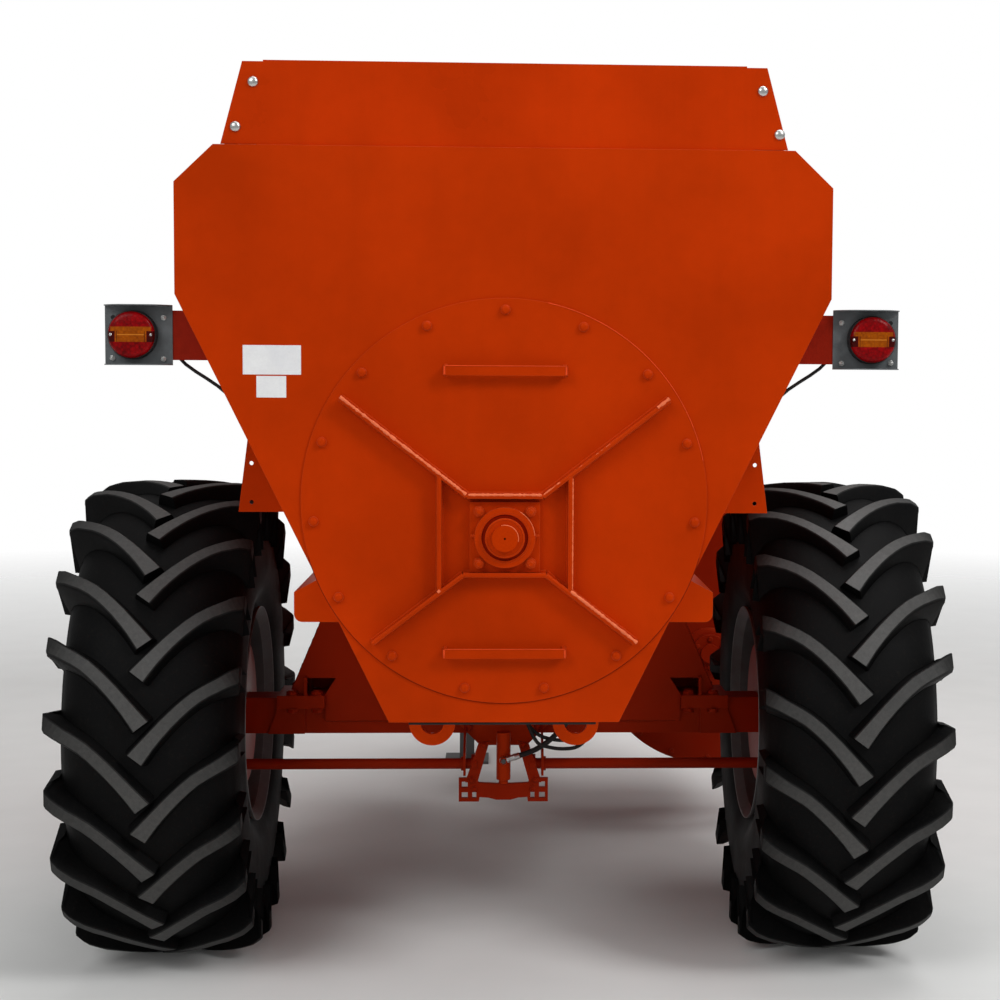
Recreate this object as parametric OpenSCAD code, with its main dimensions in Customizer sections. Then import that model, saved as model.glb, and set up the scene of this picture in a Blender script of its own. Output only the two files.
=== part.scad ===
// Side-discharge manure spreader: a towed V-shaped hopper with one long auger along its trough,
// a throwing rotor beside the front of the hopper, a braked axle on lugged tyres, and a drawbar
// that stands on its jack. +Y is forward, +X is the right-hand side, and the ground is at Z = 0.

/* [Wheels] */
// Diameter of a tyre over its lugs
tyre_d = 1600; // [1500:10:1700]
// Width of a tyre over its lugs
tyre_w = 587; // [540:1:620]
// Distance between the centre planes of the two tyres
track = 2190; // [2080:2:2240]
// Height of the tread lugs
lug_h = 38; // [25:1:50]
// Lugs in each of a tyre's two rows
lug_count = 20; // [17:1:23]
// Diameter of the rim at the bead
rim_d = 690; // [660:5:720]
// Width of the rim between its flanges
rim_w = 450; // [420:5:470]
// Thickness of the rubber
tyre_wall = 26; // [18:1:34]
// Circle of the wheel studs
stud_pcd = 335; // [300:5:360]
// Wheel studs in each wheel
stud_count = 10; // [6:1:12]

/* [Hopper] */
// Length of the hopper over its end panels
hopper_l = 3150; // [2900:10:3600]
// Distance from the axle back to the rear panel's face
rear_overhang = 1026; // [960:2:1100]
// Half of the hopper's greatest width
hopper_half_w = 932; // [900:2:960]
// Half of the end panels' bottom edge
floor_half_w = 331; // [310:1:350]
// Half of the end panels' top edge
top_half_w = 822; // [790:2:850]
// Height of the end panels' bottom edge
floor_z = 960; // [940:2:980]
// Height at which the sloping sides turn upright
waist_z = 2181; // [2140:2:2220]
// Height at which the upright sides turn inwards
shoulder_z = 2495; // [2450:2:2530]
// Height of the end panels' top edge
top_z = 2600; // [2580:2:2640]
// Thickness of the hopper's side sheets
wall_t = 6; // [5:0.5:8]
// Thickness of the end panels
panel_t = 8; // [6:0.5:12]
// How far the end panels stand proud of the side sheets
panel_lip = 12; // [8:1:18]

/* [Extension boards] */
// Height of the boards above the hopper
board_h = 230; // [180:5:260]
// How far the boards lean inwards over their height
board_lean = 62; // [40:2:80]
// Thickness of the boards
board_t = 4; // [3:0.5:6]
// Width of the bolted tab at each end of a board
board_tab = 58; // [45:1:70]

/* [Auger] */
// Height of the auger's axis
auger_z = 1498; // [1490:1:1510]
// Diameter over the flighting
auger_d = 930; // [880:5:960]
// Advance of the flighting in one turn
auger_pitch = 520; // [450:10:600]
// Diameter of the auger's tube
auger_tube_d = 168; // [140:2:190]
// Thickness of the flighting
flight_t = 12; // [8:1:16]
// Diameter of the auger's journals
journal_d = 75; // [60:1:85]

/* [Rear cover] */
// Diameter of the round bolted cover
cover_d = 1160; // [1140:2:1180]
// Height of the cover's centre
cover_z = 1597; // [1590:1:1604]
// Circle of the cover's bolts
cover_pcd = 1094; // [1084:2:1104]
// Bolts round the cover
cover_bolts = 15; // [12:1:18]
// Thickness of the cover
cover_t = 6; // [5:1:10]
// Depth of the ribs welded on the cover
rib_h = 42; // [30:1:55]
// Thickness of those ribs
rib_t = 12; // [8:1:16]
// Side of the square flange of the bearings
bearing_w = 200; // [190:1:210]
// Length of the lifting handles on the cover
handle_l = 346; // [300:2:380]

/* [Rotor] */
// Side that the rotor stands on and throws to: 1 for the right, -1 for the left
rotor_side = 1; // [-1:2:1]
// Sideways distance of the rotor's axis from the middle of the machine
rotor_x = 875; // [865:1:885]
// Height of the rotor's axis
rotor_z = 795; // [780:1:810]
// Diameter over the rotor's paddles
rotor_d = 880; // [800:5:900]
// Length of the rotor's housing
rotor_l = 560; // [500:10:580]
// Distance of the housing back from the front panel
rotor_setback = 150; // [145:5:240]
// Paddles on the rotor
paddle_count = 6; // [4:1:8]
// Inside radius of the rotor's housing
housing_r = 470; // [460:1:478]
// Thickness of the housing's sheet
housing_t = 8; // [6:1:10]
// Height of the feed chute above the rotor's axis, measured up the sloping side
chute_high = 620; // [600:5:640]
// Height of the door's opening, measured up the sloping side
door_h = 330; // [280:10:340]
// Thickness of the door
door_t = 8; // [6:1:10]
// How far the door slides up
door_travel = 330; // [260:10:340]

/* [Chassis] */
// Side of the square axle beam
axle_beam = 122; // [110:2:150]
// Sideways distance of the main rails' centre planes
rail_x = 300; // [280:2:320]
// Width of the main rails
rail_w = 80; // [60:2:100]
// Height of the main rails' section
rail_h = 130; // [110:2:140]
// Thickness of the pads on the axle beam
pad_t = 14; // [10:1:20]
// Distance from the front panel's face to the centre of the drawbar eye
eye_reach = 1290; // [1150:10:1500]
// Height of the drawbar eye
eye_z = 670; // [640:2:700]
// Radius of the hole in the drawbar eye
eye_hole_r = 25.5; // [20:0.5:30]
// Thickness of the drawbar eye
eye_t = 40; // [30:1:50]
// Width of a drawbar rail
drawbar_w = 80; // [60:2:100]
// Height of a drawbar rail
drawbar_h = 140; // [120:2:160]
// How far the jack's leg rises from the ground
jack_travel = 300; // [200:10:340]

/* [Lamps] */
// Diameter of a rear lamp
lamp_d = 140; // [120:1:150]
// Sideways distance of a lamp's centre
lamp_x = 1065; // [1050:1:1080]
// Height of a lamp's centre
lamp_z = 2067; // [2040:1:2090]
// Width of the steel guard round a lamp
lamp_guard_w = 192; // [180:1:210]
// Height of that guard
lamp_guard_h = 172; // [164:1:190]

/* [Hidden] */
$fn = 48;
// clearance between a journal and its bore, on the radius
running = 0.05;
// gap left where two curved or sloping pieces seat on each other
seat = 0.3;

front_y = hopper_l - rear_overhang;
rear_y = -rear_overhang;
// everything is drawn with the wheels' centres at this height, and lifted to stand on the tyres
wheel_z = 800;
ground_z = wheel_z - tyre_d / 2;
beam_top = wheel_z + axle_beam / 2;
beam_z0 = wheel_z - axle_beam / 2;
rail_z = beam_top + pad_t;
// the bearing and its shaft end stand this far behind the rear panel
bearing_h = 62;
shaft_out = 16;
rear_reach = rear_overhang + cover_t + bearing_h + shaft_out;
eye_y = front_y + eye_reach;
eye_r = 62;
front_reach = eye_y + eye_r;
// the axle's place, which puts the middle of the whole length at Y = 0
axle_y = (rear_reach - front_reach) / 2;

// the brake hose's route from the ram's port into the right rail's open end
hose_d = 18;
hose_route = [
    [54, -212, 692], [81, -214, 701], [108, -216, 713], [134, -218, 729], [160, -220, 750],
    [186, -220, 776], [212, -217, 806], [238, -210, 838], [262, -198, 870], [282, -182, 900],
    [295, -160, 924], [300, -132, 937], [300, -100, 940], [300, -60, 940],
];
// a lamp cable's route down the hopper's side: distance out from the slope, height, and distance
// ahead of the rear panel's face
lamp_cable_d = 10;
lamp_route = [
    [116, 2030, 107], [116, 2030, 116], [115, 2022, 126], [112, 2004, 130], [102, 1984, 130],
    [84, 1964, 128], [62, 1944, 126], [40, 1922, 124], [22, 1896, 122], [11, 1866, 120],
    [6, 1832, 119], [6, 1800, 118], [6, 1770, 118], [6, 1740, 118], [6, 1710, 118], [6, 1680, 118],
    [6, 1650, 118], [6, 1620, 118], [6, 1590, 118], [6, 1560, 118], [6, 1530, 118], [6, 1500, 118],
    [6, 1470, 118], [6, 1440, 118], [6, 1410, 118], [6, 1380, 118], [6, 1352, 118],
    [6, 1334, 120], [6, 1322, 126], [6, 1318, 133], [6, 1318, 140],
];

// corners of an end panel, from the bottom left, anticlockwise as seen from behind
outline = [
    [-floor_half_w, floor_z], [floor_half_w, floor_z],
    [hopper_half_w, waist_z], [hopper_half_w, shoulder_z],
    [top_half_w, top_z], [-top_half_w, top_z],
    [-hopper_half_w, shoulder_z], [-hopper_half_w, waist_z],
];

function unit(v) = v / norm(v);
function inward(a, b) = let (d = unit(b - a)) [-d[1], d[0]];
// a convex outline moved inwards by d on every side
function inset(p, d) = [
    for (i = [0 : len(p) - 1])
        let (
            before = inward(p[(i + len(p) - 1) % len(p)], p[i]),
            after = inward(p[i], p[(i + 1) % len(p)])
        )
        p[i] + d * (before + after) / (1 + before * after)
];

// the sloping side: its direction upwards and its outward normal, on the right-hand side
slope = unit([hopper_half_w - floor_half_w, waist_z - floor_z]);
slope_out = [slope[1], -slope[0]];
slope_angle = atan2(slope[1], slope[0]);
// the trough is round about the auger's axis and tangent to both sloping sides
axis_to_slope = slope_out * ([floor_half_w, floor_z] - [0, auger_z]);
trough_r = axis_to_slope - panel_lip;

// an upright profile drawn in X and Z, extruded from y0 to y1
module along_y(y0, y1)
    translate([0, y1, 0]) rotate([90, 0, 0]) linear_extrude(y1 - y0) children();

// a profile drawn in Y and Z, extruded from x0 to x1
module along_x(x0, x1)
    translate([x0, 0, 0]) rotate([90, 0, 90]) linear_extrude(x1 - x0) children();

// a block between two opposite corners
module block(a, b)
    translate([min(a[0], b[0]), min(a[1], b[1]), min(a[2], b[2])])
        cube([abs(b[0] - a[0]), abs(b[1] - a[1]), abs(b[2] - a[2])]);

module rod_y(r, y0, y1) translate([0, y0, 0]) rotate([-90, 0, 0]) cylinder(r = r, h = y1 - y0);
module rod_x(r, x0, x1) translate([x0, 0, 0]) rotate([0, 90, 0]) cylinder(r = r, h = x1 - x0);

// puts a piece drawn for a rotor on the left on the side that the rotor throws to
module throw_side() mirror([rotor_side > 0 ? 1 : 0, 0, 0]) children();

module from_axle() translate([0, axle_y, -ground_z]) children();

// Hopper

// width of the flat flange along the top of each side sheet
top_flange = 60;

// one side sheet: sloping from the trough, upright, then turned in at the top
module side_section(s) {
    outer = inset(outline, panel_lip);
    inner = inset(outline, panel_lip + wall_t);
    tangent_out = [0, auger_z] + slope_out * trough_r + slope * seat;
    tangent_in = tangent_out - slope_out * wall_t;
    points = [
        tangent_out, outer[2], outer[3], outer[4], outer[4] - [top_flange, 0],
        outer[4] - [top_flange, wall_t], inner[4], inner[3], inner[2], tangent_in,
    ];
    polygon([for (p = points) [s * p[0], p[1]]]);
}

module side_sheet(s) {
    along_y(rear_y + panel_t, front_y - panel_t) side_section(s);
}

// places children on the left sloping side: X runs up the slope, Z stands out from its outer face,
// and Y = 0 is the middle of the rotor
module on_left_slope()
    translate([-floor_half_w, rotor_mid_y, floor_z])
        rotate([0, slope_angle - 180, 0]) translate([0, 0, -panel_lip]) children();

rotor_y1 = front_y - rotor_setback;
rotor_y0 = rotor_y1 - rotor_l;
rotor_mid_y = (rotor_y0 + rotor_y1) / 2;
// how far up the slope the trough ends and the door's opening starts
tangent_s = slope * ([0, auger_z] - [floor_half_w, floor_z]);
door_s = tangent_s + 20;
door_open_l = rotor_l - 90;

// a side of the hopper; the one that the rotor stands on has the door's opening
module hopper_side(s)
    color("orangered") difference() {
        side_sheet(s);
        if (s == rotor_side) throw_side() on_left_slope()
            translate([door_s, -door_open_l / 2, -4 * wall_t])
                cube([door_h, door_open_l, 8 * wall_t]);
    }

module hopper_left() hopper_side(-1);
module hopper_right() hopper_side(1);

module hopper_trough() {
    reach = 2 * trough_r;
    color("orangered") along_y(rear_y + panel_t, front_y - panel_t)
        translate([0, auger_z]) intersection() {
            difference() {
                circle(r = trough_r, $fn = 120);
                circle(r = trough_r - wall_t, $fn = 120);
            }
            polygon([
                [0, 0], reach * slope_out, [reach, -reach],
                [-reach, -reach], [-reach * slope_out[0], reach * slope_out[1]],
            ]);
        }
}

module panel_blank(y0) along_y(y0, y0 + panel_t) polygon(outline);

module rear_panel() {
    color("orangered") difference() {
        panel_blank(rear_y);
        translate([0, 0, cover_z]) rod_y(cover_pcd / 2 - 30, rear_y - 1, rear_y + panel_t + 1);
    }
}

module front_panel() {
    color("orangered") difference() {
        panel_blank(front_y - panel_t);
        translate([0, 0, auger_z]) rod_y(journal_d / 2 + 12, front_y - panel_t - 1, front_y + 1);
    }
}

// the hopper's outer face with the seat gap, as an area in X and Z
module hopper_area() {
    face = inset(outline, panel_lip - seat);
    tangent = [0, auger_z] + slope_out * (trough_r + seat);
    translate([0, auger_z]) circle(r = trough_r + seat, $fn = 120);
    for (s = [-1, 1]) polygon([
        for (p = [[0, auger_z], tangent, face[2], face[3], face[4], [0, top_z - panel_lip]]) [s * p[0], p[1]]
    ]);
}

// Extension boards

board_z = top_z + 2;
board_foot = top_half_w - 20;
end_board_gap = panel_t + seat;

// an end board: a leaning trapezium in one upright plane, with a folded lip along its top
module end_board(y0) {
    lip_half = board_foot - board_lean - board_tab;
    tongue_half = top_half_w - 2 * top_flange;
    color("orangered") {
        along_y(y0, y0 + board_t) {
            polygon([
                [-board_foot, board_z], [board_foot, board_z],
                [board_foot - board_lean, board_z + board_h], [-(board_foot - board_lean), board_z + board_h],
            ]);
            translate([-tongue_half, board_z - 50]) square([2 * tongue_half, 51]);
        }
        block([-lip_half, y0, board_z + board_h], [lip_half, y0 + 30, board_z + board_h + board_t]);
    }
}

// a side board between the end boards, leaning in, with its foot on the turned-in top sheet
module side_board(s) {
    foot = board_foot - 8;
    foot_z = top_z - panel_lip + seat;
    t = board_t;
    inset_y = end_board_gap + board_t + seat;
    color("orangered") along_y(rear_y + inset_y, front_y - inset_y)
        polygon([
            [s * foot, foot_z], [s * (foot - board_lean), board_z + board_h],
            [s * (foot - board_lean - 34), board_z + board_h],
            [s * (foot - board_lean - 34), board_z + board_h - t],
            [s * (foot - board_lean - t), board_z + board_h - t], [s * (foot - t), foot_z],
        ]);
}

module extension_rear() end_board(rear_y + end_board_gap);
module extension_front() translate([0, 2 * front_y, 0]) mirror([0, 1, 0]) end_board(front_y + end_board_gap);
module extension_left() side_board(-1);
module extension_right() side_board(1);

// Rear cover, with its X of ribs, and the bearings

// half of a rib's run from the middle outwards, in X and Z from the bearing's centre
rib_bend = [108, 117];
rib_top = [467, 394];
rib_low = [376, -303];
rib_low_bend = [118, -107];
rib_post_x = 186;

// a flat bar on edge between two points in X and Z
module flat_bar(a, b, y0, y1)
    along_y(y0, y1) translate(a) rotate(atan2(b[1] - a[1], b[0] - a[0]))
        translate([0, -rib_t / 2]) square([norm(b - a), rib_t]);

function on_line(a, b, x) = a[1] + (b[1] - a[1]) * (x - a[0]) / (b[0] - a[0]);

module cover_ribs(y0, y1) {
    translate([0, 0, auger_z]) {
        for (s = [-1, 1]) {
            flat_bar([s * rib_bend[0], rib_bend[1]], [s * rib_top[0], rib_top[1]], y0, y1);
            flat_bar([s * rib_low_bend[0], rib_low_bend[1]], [s * rib_low[0], rib_low[1]], y0, y1);
            block(
                [s * rib_post_x - rib_t / 2, y0, on_line(rib_low_bend, rib_low, rib_post_x)],
                [s * rib_post_x + rib_t / 2, y1, on_line(rib_bend, rib_top, rib_post_x)]
            );
        }
        block([-rib_bend[0], y0, rib_bend[1] - rib_t / 2], [rib_bend[0], y1, rib_bend[1] + rib_t / 2]);
        block(
            [-rib_low_bend[0], y0, rib_low_bend[1] - rib_t / 2],
            [rib_low_bend[0], y1, rib_low_bend[1] + rib_t / 2]
        );
    }
}

handle_bar = [28, 8];
handle_h = 38;

module cover_handle(z, y1)
    translate([0, 0, z]) {
        block([-handle_l / 2, y1 - handle_h, -handle_bar[0] / 2],
            [handle_l / 2, y1 - handle_h + handle_bar[1], handle_bar[0] / 2]);
        for (s = [-1, 1])
            block([s * handle_l / 2, y1 - handle_h, -handle_bar[0] / 2],
                [s * (handle_l / 2 - handle_bar[1]), y1, handle_bar[0] / 2]);
    }

module rear_cover() {
    face_y = rear_y - cover_t;
    bolt_r = 14;
    color("orangered") difference() {
        union() {
            translate([0, 0, cover_z]) rod_y(cover_d / 2, face_y, rear_y);
            cover_ribs(face_y - rib_h, face_y + 1);
            cover_handle(auger_z + 473, face_y + 1);
            cover_handle(auger_z - 333, face_y + 1);
            translate([0, 0, cover_z])
                for (i = [0 : cover_bolts - 1]) rotate([0, i * 360 / cover_bolts, 0])
                    translate([0, 0, cover_pcd / 2]) rod_y(bolt_r, face_y - 9, face_y + 1);
        }
        translate([0, 0, auger_z]) rod_y(journal_d / 2 + 12, face_y - 1, rear_y + 1);
    }
}

// a four-bolt flange bearing that faces -Y from y1, on the auger's axis
module flange_bearing(y1) {
    boss_r = 86;
    collar_r = 56;
    corner = bearing_w / 2 - 26;
    translate([0, 0, auger_z]) difference() {
        union() {
            block([-bearing_w / 2, y1 - 20, -bearing_w / 2], [bearing_w / 2, y1, bearing_w / 2]);
            rod_y(boss_r, y1 - 44, y1 - 20);
            rod_y(collar_r, y1 - bearing_h, y1 - 44);
            for (sx = [-1, 1], sz = [-1, 1]) translate([sx * corner, 0, sz * corner])
                rod_y(15, y1 - 36, y1 - 20);
        }
        rod_y(journal_d / 2 + running, y1 - bearing_h - 1, y1 + 1);
        difference() {
            rod_y(boss_r - 14, y1 - 45, y1 - 38);
            rod_y(collar_r, y1 - 46, y1 - 30);
        }
    }
}

module rear_bearing() color("orangered") flange_bearing(rear_y - cover_t);

module front_bearing() color("dimgray") translate([0, front_y, 0]) mirror([0, 1, 0]) flange_bearing(0);

// Auger

auger_y0 = rear_y + panel_t + 30;
auger_y1 = front_y - panel_t - 30;
auger_wall = 14;
auger_end = 30;

module auger_tube() {
    color("gray") translate([0, 0, auger_z]) {
        difference() {
            rod_y(auger_tube_d / 2, auger_y0, auger_y1);
            rod_y(auger_tube_d / 2 - auger_wall, auger_y0 + auger_end, auger_y1 - auger_end);
        }
        rod_y(journal_d / 2, -rear_reach, auger_y0 + 1);
        rod_y(journal_d / 2, auger_y1 - 1, guard_y0 + 20);
    }
}

// one helical flight as a ribbon of rings, each ring a thin rectangle that turns about the axis
module auger_flight() {
    steps = 20;
    r_in = auger_tube_d / 2 / cos(180 / steps) + seat;
    r_out = auger_d / 2;
    run = auger_y1 - auger_y0 - flight_t;
    n = floor(steps * run / auger_pitch);
    points = [
        for (i = [0 : n]) for (c = [[r_in, 0], [r_out, 0], [r_out, flight_t], [r_in, flight_t]])
            let (a = i * 360 / steps) [c[0] * sin(a), auger_y0 + c[1] + i * auger_pitch / steps, c[0] * cos(a)]
    ];
    faces = concat(
        [[3, 2, 1, 0]], [[4 * n, 4 * n + 1, 4 * n + 2, 4 * n + 3]],
        [
            for (i = [0 : n - 1]) for (k = [0 : 3])
                let (a = 4 * i + k, b = 4 * i + (k + 1) % 4) each [[a, b, a + 4], [b, b + 4, a + 4]]
        ]
    );
    color("gray") translate([0, 0, auger_z]) polyhedron(points, faces, convexity = 10);
}

// Body stringers, wing plates and the saddle over the axle

function slope_x(z) = floor_half_w + (z - floor_z) * slope[0] / slope[1] - panel_lip / slope[1];
stringer_z = 1232;
stringer_h = 88;
stringer_x = 617;
stringer_top = 1372;

stringer_wall = 8;

// section of a stringer with its lower outer corner rounded, moved inwards by d
module stringer_profile(s, d) {
    round_r = 24 - d;
    low = stringer_z + d;
    out = stringer_x - d;
    high = d == 0 ? stringer_top : stringer_top - 2.4 * d;
    polygon(concat(
        [[s * (slope_x(low) + seat - d), low], [s * (out - round_r), low]],
        [for (a = [-75 : 15 : -15]) [s * (out - round_r * (1 - cos(a))), low + round_r * (1 + sin(a))]],
        [[s * out, low + round_r], [s * out, stringer_z + stringer_h - 0.7 * d],
            [s * (slope_x(high) + seat - d), high]]
    ));
}

module stringer(s, y1)
    color("orangered") difference() {
        along_y(rear_y + 140, y1) stringer_profile(s, 0);
        along_y(rear_y + 140 + stringer_wall, y1 + 1) stringer_profile(s, stringer_wall);
    }
// on the rotor's side a stringer ends behind the door's ram
function stringer_end(s) = s == rotor_side ? rotor_mid_y + ram_off - ram_r - 8 : front_y - 40;
module stringer_left() stringer(-1, stringer_end(-1));
module stringer_right() stringer(1, stringer_end(1));

wing_z = 1535;
wing_x = 818;
wing_top = 1885;
// where the wing plates stand along the body, from the axle
wing_stations = [-600, 600];
// distance of their holes from the outer edge
wing_hole_in = 40;

module wing_plate(s, y)
    difference() {
        along_y(y, y + 8) polygon([
            [s * (slope_x(wing_z) + seat), wing_z], [s * wing_x, wing_z],
            [s * (slope_x(wing_top) + seat), wing_top],
        ]);
        for (z = [30, 150]) translate([s * (wing_x - wing_hole_in), 0, wing_z + z]) rod_y(6.5, y - 1, y + 9);
    }

module wing_plates(s) color("orangered") for (y = wing_stations) wing_plate(s, y);
module wing_plates_left() wing_plates(-1);
module wing_plates_right() wing_plates(1);

// outer end and length of an axle seat, which stays clear of the tyre
seat_end = track / 2 - tyre_w / 2 - 36;
seat_l = 160;
seat_in = seat_end - seat_l;
// how far a seat reaches out beyond the beam's faces
seat_ear = 45;
// the saddle's outer edge at its foot and under the stringer
saddle_foot = seat_end - 40;
saddle_top = stringer_x - 44;
saddle_plate = 12;
// how far the saddle's plates lap down over the beam's faces
saddle_lap = 76;

// the saddle: two plates across the machine that widen from the stringers down to the axle seats, with
// openings that reach the seats' nuts, ribs beside them, and a flange along their outer edges
module axle_saddle() {
    gap = axle_beam / 2;
    rail_side = rail_x + rail_w / 2 + seat;
    lap_z = beam_top - saddle_lap;
    foot_z = beam_top + pad_t;
    head_z = stringer_z - seat;
    open_h = 56;
    rib_x = seat_in + 60;
    rib_y = gap + saddle_plate;
    color("firebrick") for (s = [-1, 1]) {
        for (y = [-gap - saddle_plate, gap])
            along_y(y, y + saddle_plate) difference() {
                polygon([
                    for (p = [
                        [rail_side, lap_z], [seat_in, lap_z], [seat_in, foot_z],
                        [seat_in - 36, foot_z + open_h], [rib_x, foot_z + open_h], [rib_x, foot_z],
                        [saddle_foot, foot_z], [saddle_top, head_z], [rail_side, head_z],
                    ]) [s * p[0], p[1]]
                ]);
                hopper_area();
            }
        along_y(-gap - 1, gap + 1) polygon([
            for (p = [
                [saddle_foot, foot_z], [saddle_top, head_z],
                [saddle_top - saddle_plate, head_z], [saddle_foot - saddle_plate, foot_z],
            ]) [s * p[0], p[1]]
        ]);
        for (m = [0, 1]) mirror([0, m, 0]) along_x(s * (rib_x + 5) - 5, s * (rib_x + 5) + 5) polygon([
            [rib_y - 1, foot_z], [gap + seat_ear - 4, foot_z], [gap + seat_ear - 12, foot_z + open_h + 4],
            [rib_y - 1, foot_z + open_h + 4],
        ]);
    }
}

// Axle, brakes and hubs

disc_x = track / 2 - 60;
drum_x0 = disc_x - 140;
drum_x1 = disc_x - 30;
backplate_x = drum_x0 - 16;
backplate_r = 236;
stub_d = 80;
cam_y = -150;
cam_z = 652;
cam_d = 36;

module axle() {
    color("firebrick") translate([0, 0, wheel_z]) difference() {
        union() {
            block(
                [-backplate_x, -axle_beam / 2, -axle_beam / 2], [backplate_x, axle_beam / 2, axle_beam / 2]
            );
            for (s = [-1, 1]) mirror([s > 0 ? 0 : 1, 0, 0]) {
                rod_x(backplate_r, backplate_x, backplate_x + 8);
                rod_x(stub_d / 2, backplate_x, disc_x + 10);
            }
        }
        for (s = [-1, 1]) translate([s * backplate_x, cam_y, cam_z - wheel_z])
            rod_x(cam_d / 2 + seat, -20, 20);
    }
}

// pads under the main rails, and the seats of the saddle, which grip the beam with their ears
module axle_seats() {
    gap = axle_beam / 2;
    half = gap + seat_ear;
    pad_z = beam_top + pad_t;
    ear_z = beam_top - 30;
    gusset_t = 12;
    gusset_in = seat_in + 70;
    bolt_r = 13;
    color("firebrick") for (s = [-1, 1]) mirror([s > 0 ? 0 : 1, 0, 0]) {
        block([rail_x - rail_w / 2, -gap, beam_top], [rail_x + rail_w / 2, gap, pad_z]);
        difference() {
            block([seat_in, -half, ear_z], [seat_end, half, pad_z]);
            block([seat_in - 1, -gap, ear_z - 1], [seat_end + 1, gap, beam_top]);
        }
        for (m = [0, 1]) mirror([0, m, 0]) {
            along_y(gap, gap + gusset_t) polygon([
                [gusset_in, ear_z + 1], [seat_end, ear_z + 1], [seat_end + 34, beam_z0], [gusset_in, beam_z0],
            ]);
            for (x = [seat_in + 26, seat_in + 110]) translate([x, half - 15, ear_z - 12])
                cylinder(r = bolt_r, h = pad_z + 18 - (ear_z - 12));
        }
    }
}

// half length of the bar between the brake levers, and the height of its middle
bar_x = 150;
bar_z = 580;
ram_y = cam_y - 20;
ram_d = 48;
// where the brake hose leaves the ram
port_z = 674;
// rear face of the plate on the axle beam that holds the ram
ram_plate_y = -axle_beam / 2 - 14;

// brake camshafts in their hangers, with the levers that the bowed bar pulls
module brake_linkage() {
    // the bar's outline on one side: its upper edge outwards, then its lower edge back inwards
    bar = [
        [24, 9], [82, 12], [94, 28], [bar_x, 28], [bar_x, -52], [82, -52], [80, -37], [50, -39], [24, -46],
    ];
    hanger_x = 131;
    color("firebrick") {
        for (s = [-1, 1]) {
            translate([0, cam_y, cam_z]) mirror([s > 0 ? 0 : 1, 0, 0]) {
                rod_x(cam_d / 2, 96, backplate_x + 9);
                rod_x(cam_d / 2 + 14, 88, 108);
                rod_x(cam_d / 2 + 6, hanger_x + 4, hanger_x + 12);
            }
            along_x(s * hanger_x - 4, s * hanger_x + 4) polygon([
                [cam_y - 30, cam_z - 36], [cam_y + 30, cam_z - 36], [ram_plate_y - seat, beam_z0 + 10],
                [ram_plate_y - seat, beam_z0 + 40], [cam_y - 30, cam_z + 40],
            ]);
            along_y(ram_y - 8, ram_y + 8) polygon([
                [s * 47, cam_z + 81], [s * 84, cam_z + 74], [s * 128, bar_z + 14], [s * 88, bar_z + 10],
            ]);
        }
        along_y(ram_y - 8, ram_y + 8) difference() {
            polygon([
                for (p = bar) [p[0], bar_z + p[1]],
                for (i = [len(bar) - 1 : -1 : 0]) [-bar[i][0], bar_z + bar[i][1]],
            ]);
            for (s = [-1, 1], z = [-40, -4]) translate([s * 130 - 10, bar_z + z]) square([20, 20]);
            for (s = [-1, 1]) translate([s * 98 - 7, bar_z - 40]) square([14, 20]);
        }
    }
}

// the ram that lifts the bar, on a plate below the axle beam, with the port that its hose screws into
module brake_ram() {
    foot_z = bar_z + 9 + seat;
    color("firebrick") {
        along_y(ram_plate_y, -axle_beam / 2) polygon([
            [-160, beam_z0 + 40], [160, beam_z0 + 40], [80, beam_z0 - 40], [-80, beam_z0 - 40],
        ]);
        translate([0, ram_y, foot_z + 14]) cylinder(r = ram_d / 2, h = 160);
        block([-22, -axle_beam / 2 - 10, beam_z0 - 30], [22, ram_y, beam_z0 - 8]);
        translate([0, ram_y, foot_z]) cylinder(r = ram_d / 2 - 8, h = 20);
    }
    // the port's banjo and the ferrule that the hose is pressed into
    port = [0, hose_route[0][1] + 4, port_z];
    reach = hose_route[0] - port;
    color("silver") {
        translate([0, 0, port_z]) rod_y(12, port[1] - 12, ram_y - ram_d / 2 + 2);
        translate(port) rotate([0, acos(reach[2] / norm(reach)), atan2(reach[1], reach[0])])
            cylinder(r = hose_d / 2 + 1, h = norm(reach));
    }
}

// Wheels

carcass_r = tyre_d / 2 - lug_h;
// the sidewalls stand this far inside the lugs' outer ends
carcass_w = tyre_w - 36;
bead_r = rim_d / 2;
// angles on the rounded section, from one bead over the crown to the other
bead_a = 48;
section_p = 2 / 2.8;
// height share of the section at the bead
bead_share = pow(sin(bead_a), section_p);

function section_point(a, half_h, half_w, mid_r) = [
    mid_r + half_h * sign(sin(a)) * pow(abs(sin(a)), section_p),
    half_w * sign(cos(a)) * pow(abs(cos(a)), section_p),
];

// section of the carcass from one bead over the crown to the other, inset by d, down to foot_r
module carcass_section(d, foot_r) {
    half_h = (carcass_r - bead_r) / (1 + bead_share);
    steps = 12;
    polygon(concat([[foot_r, -rim_w / 2 + d]], [
        for (i = [0 : steps]) let (
            a = -bead_a + i * (180 + 2 * bead_a) / steps,
            p = section_point(a, half_h - d, carcass_w / 2 - d, carcass_r - half_h)
        ) [p[0], -p[1]]
    ], [[foot_r, rim_w / 2 - d]]));
}

// the face that the lug tips reach: share of the half width and distance below the top of the tread
tip_line = [[0, 0], [0.42, 3], [0.72, 10], [0.9, 24], [1, 46], [1, 112]];

// a lug's run from near the crown to the shoulder: place across as a share of the half width,
// way round the tread, and width
lug_run = [
    [-0.03, -136, 60], [0.13, -78, 50], [0.34, -10, 46], [0.57, 51, 45], [0.81, 93, 46], [1.04, 132, 56],
];

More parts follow.
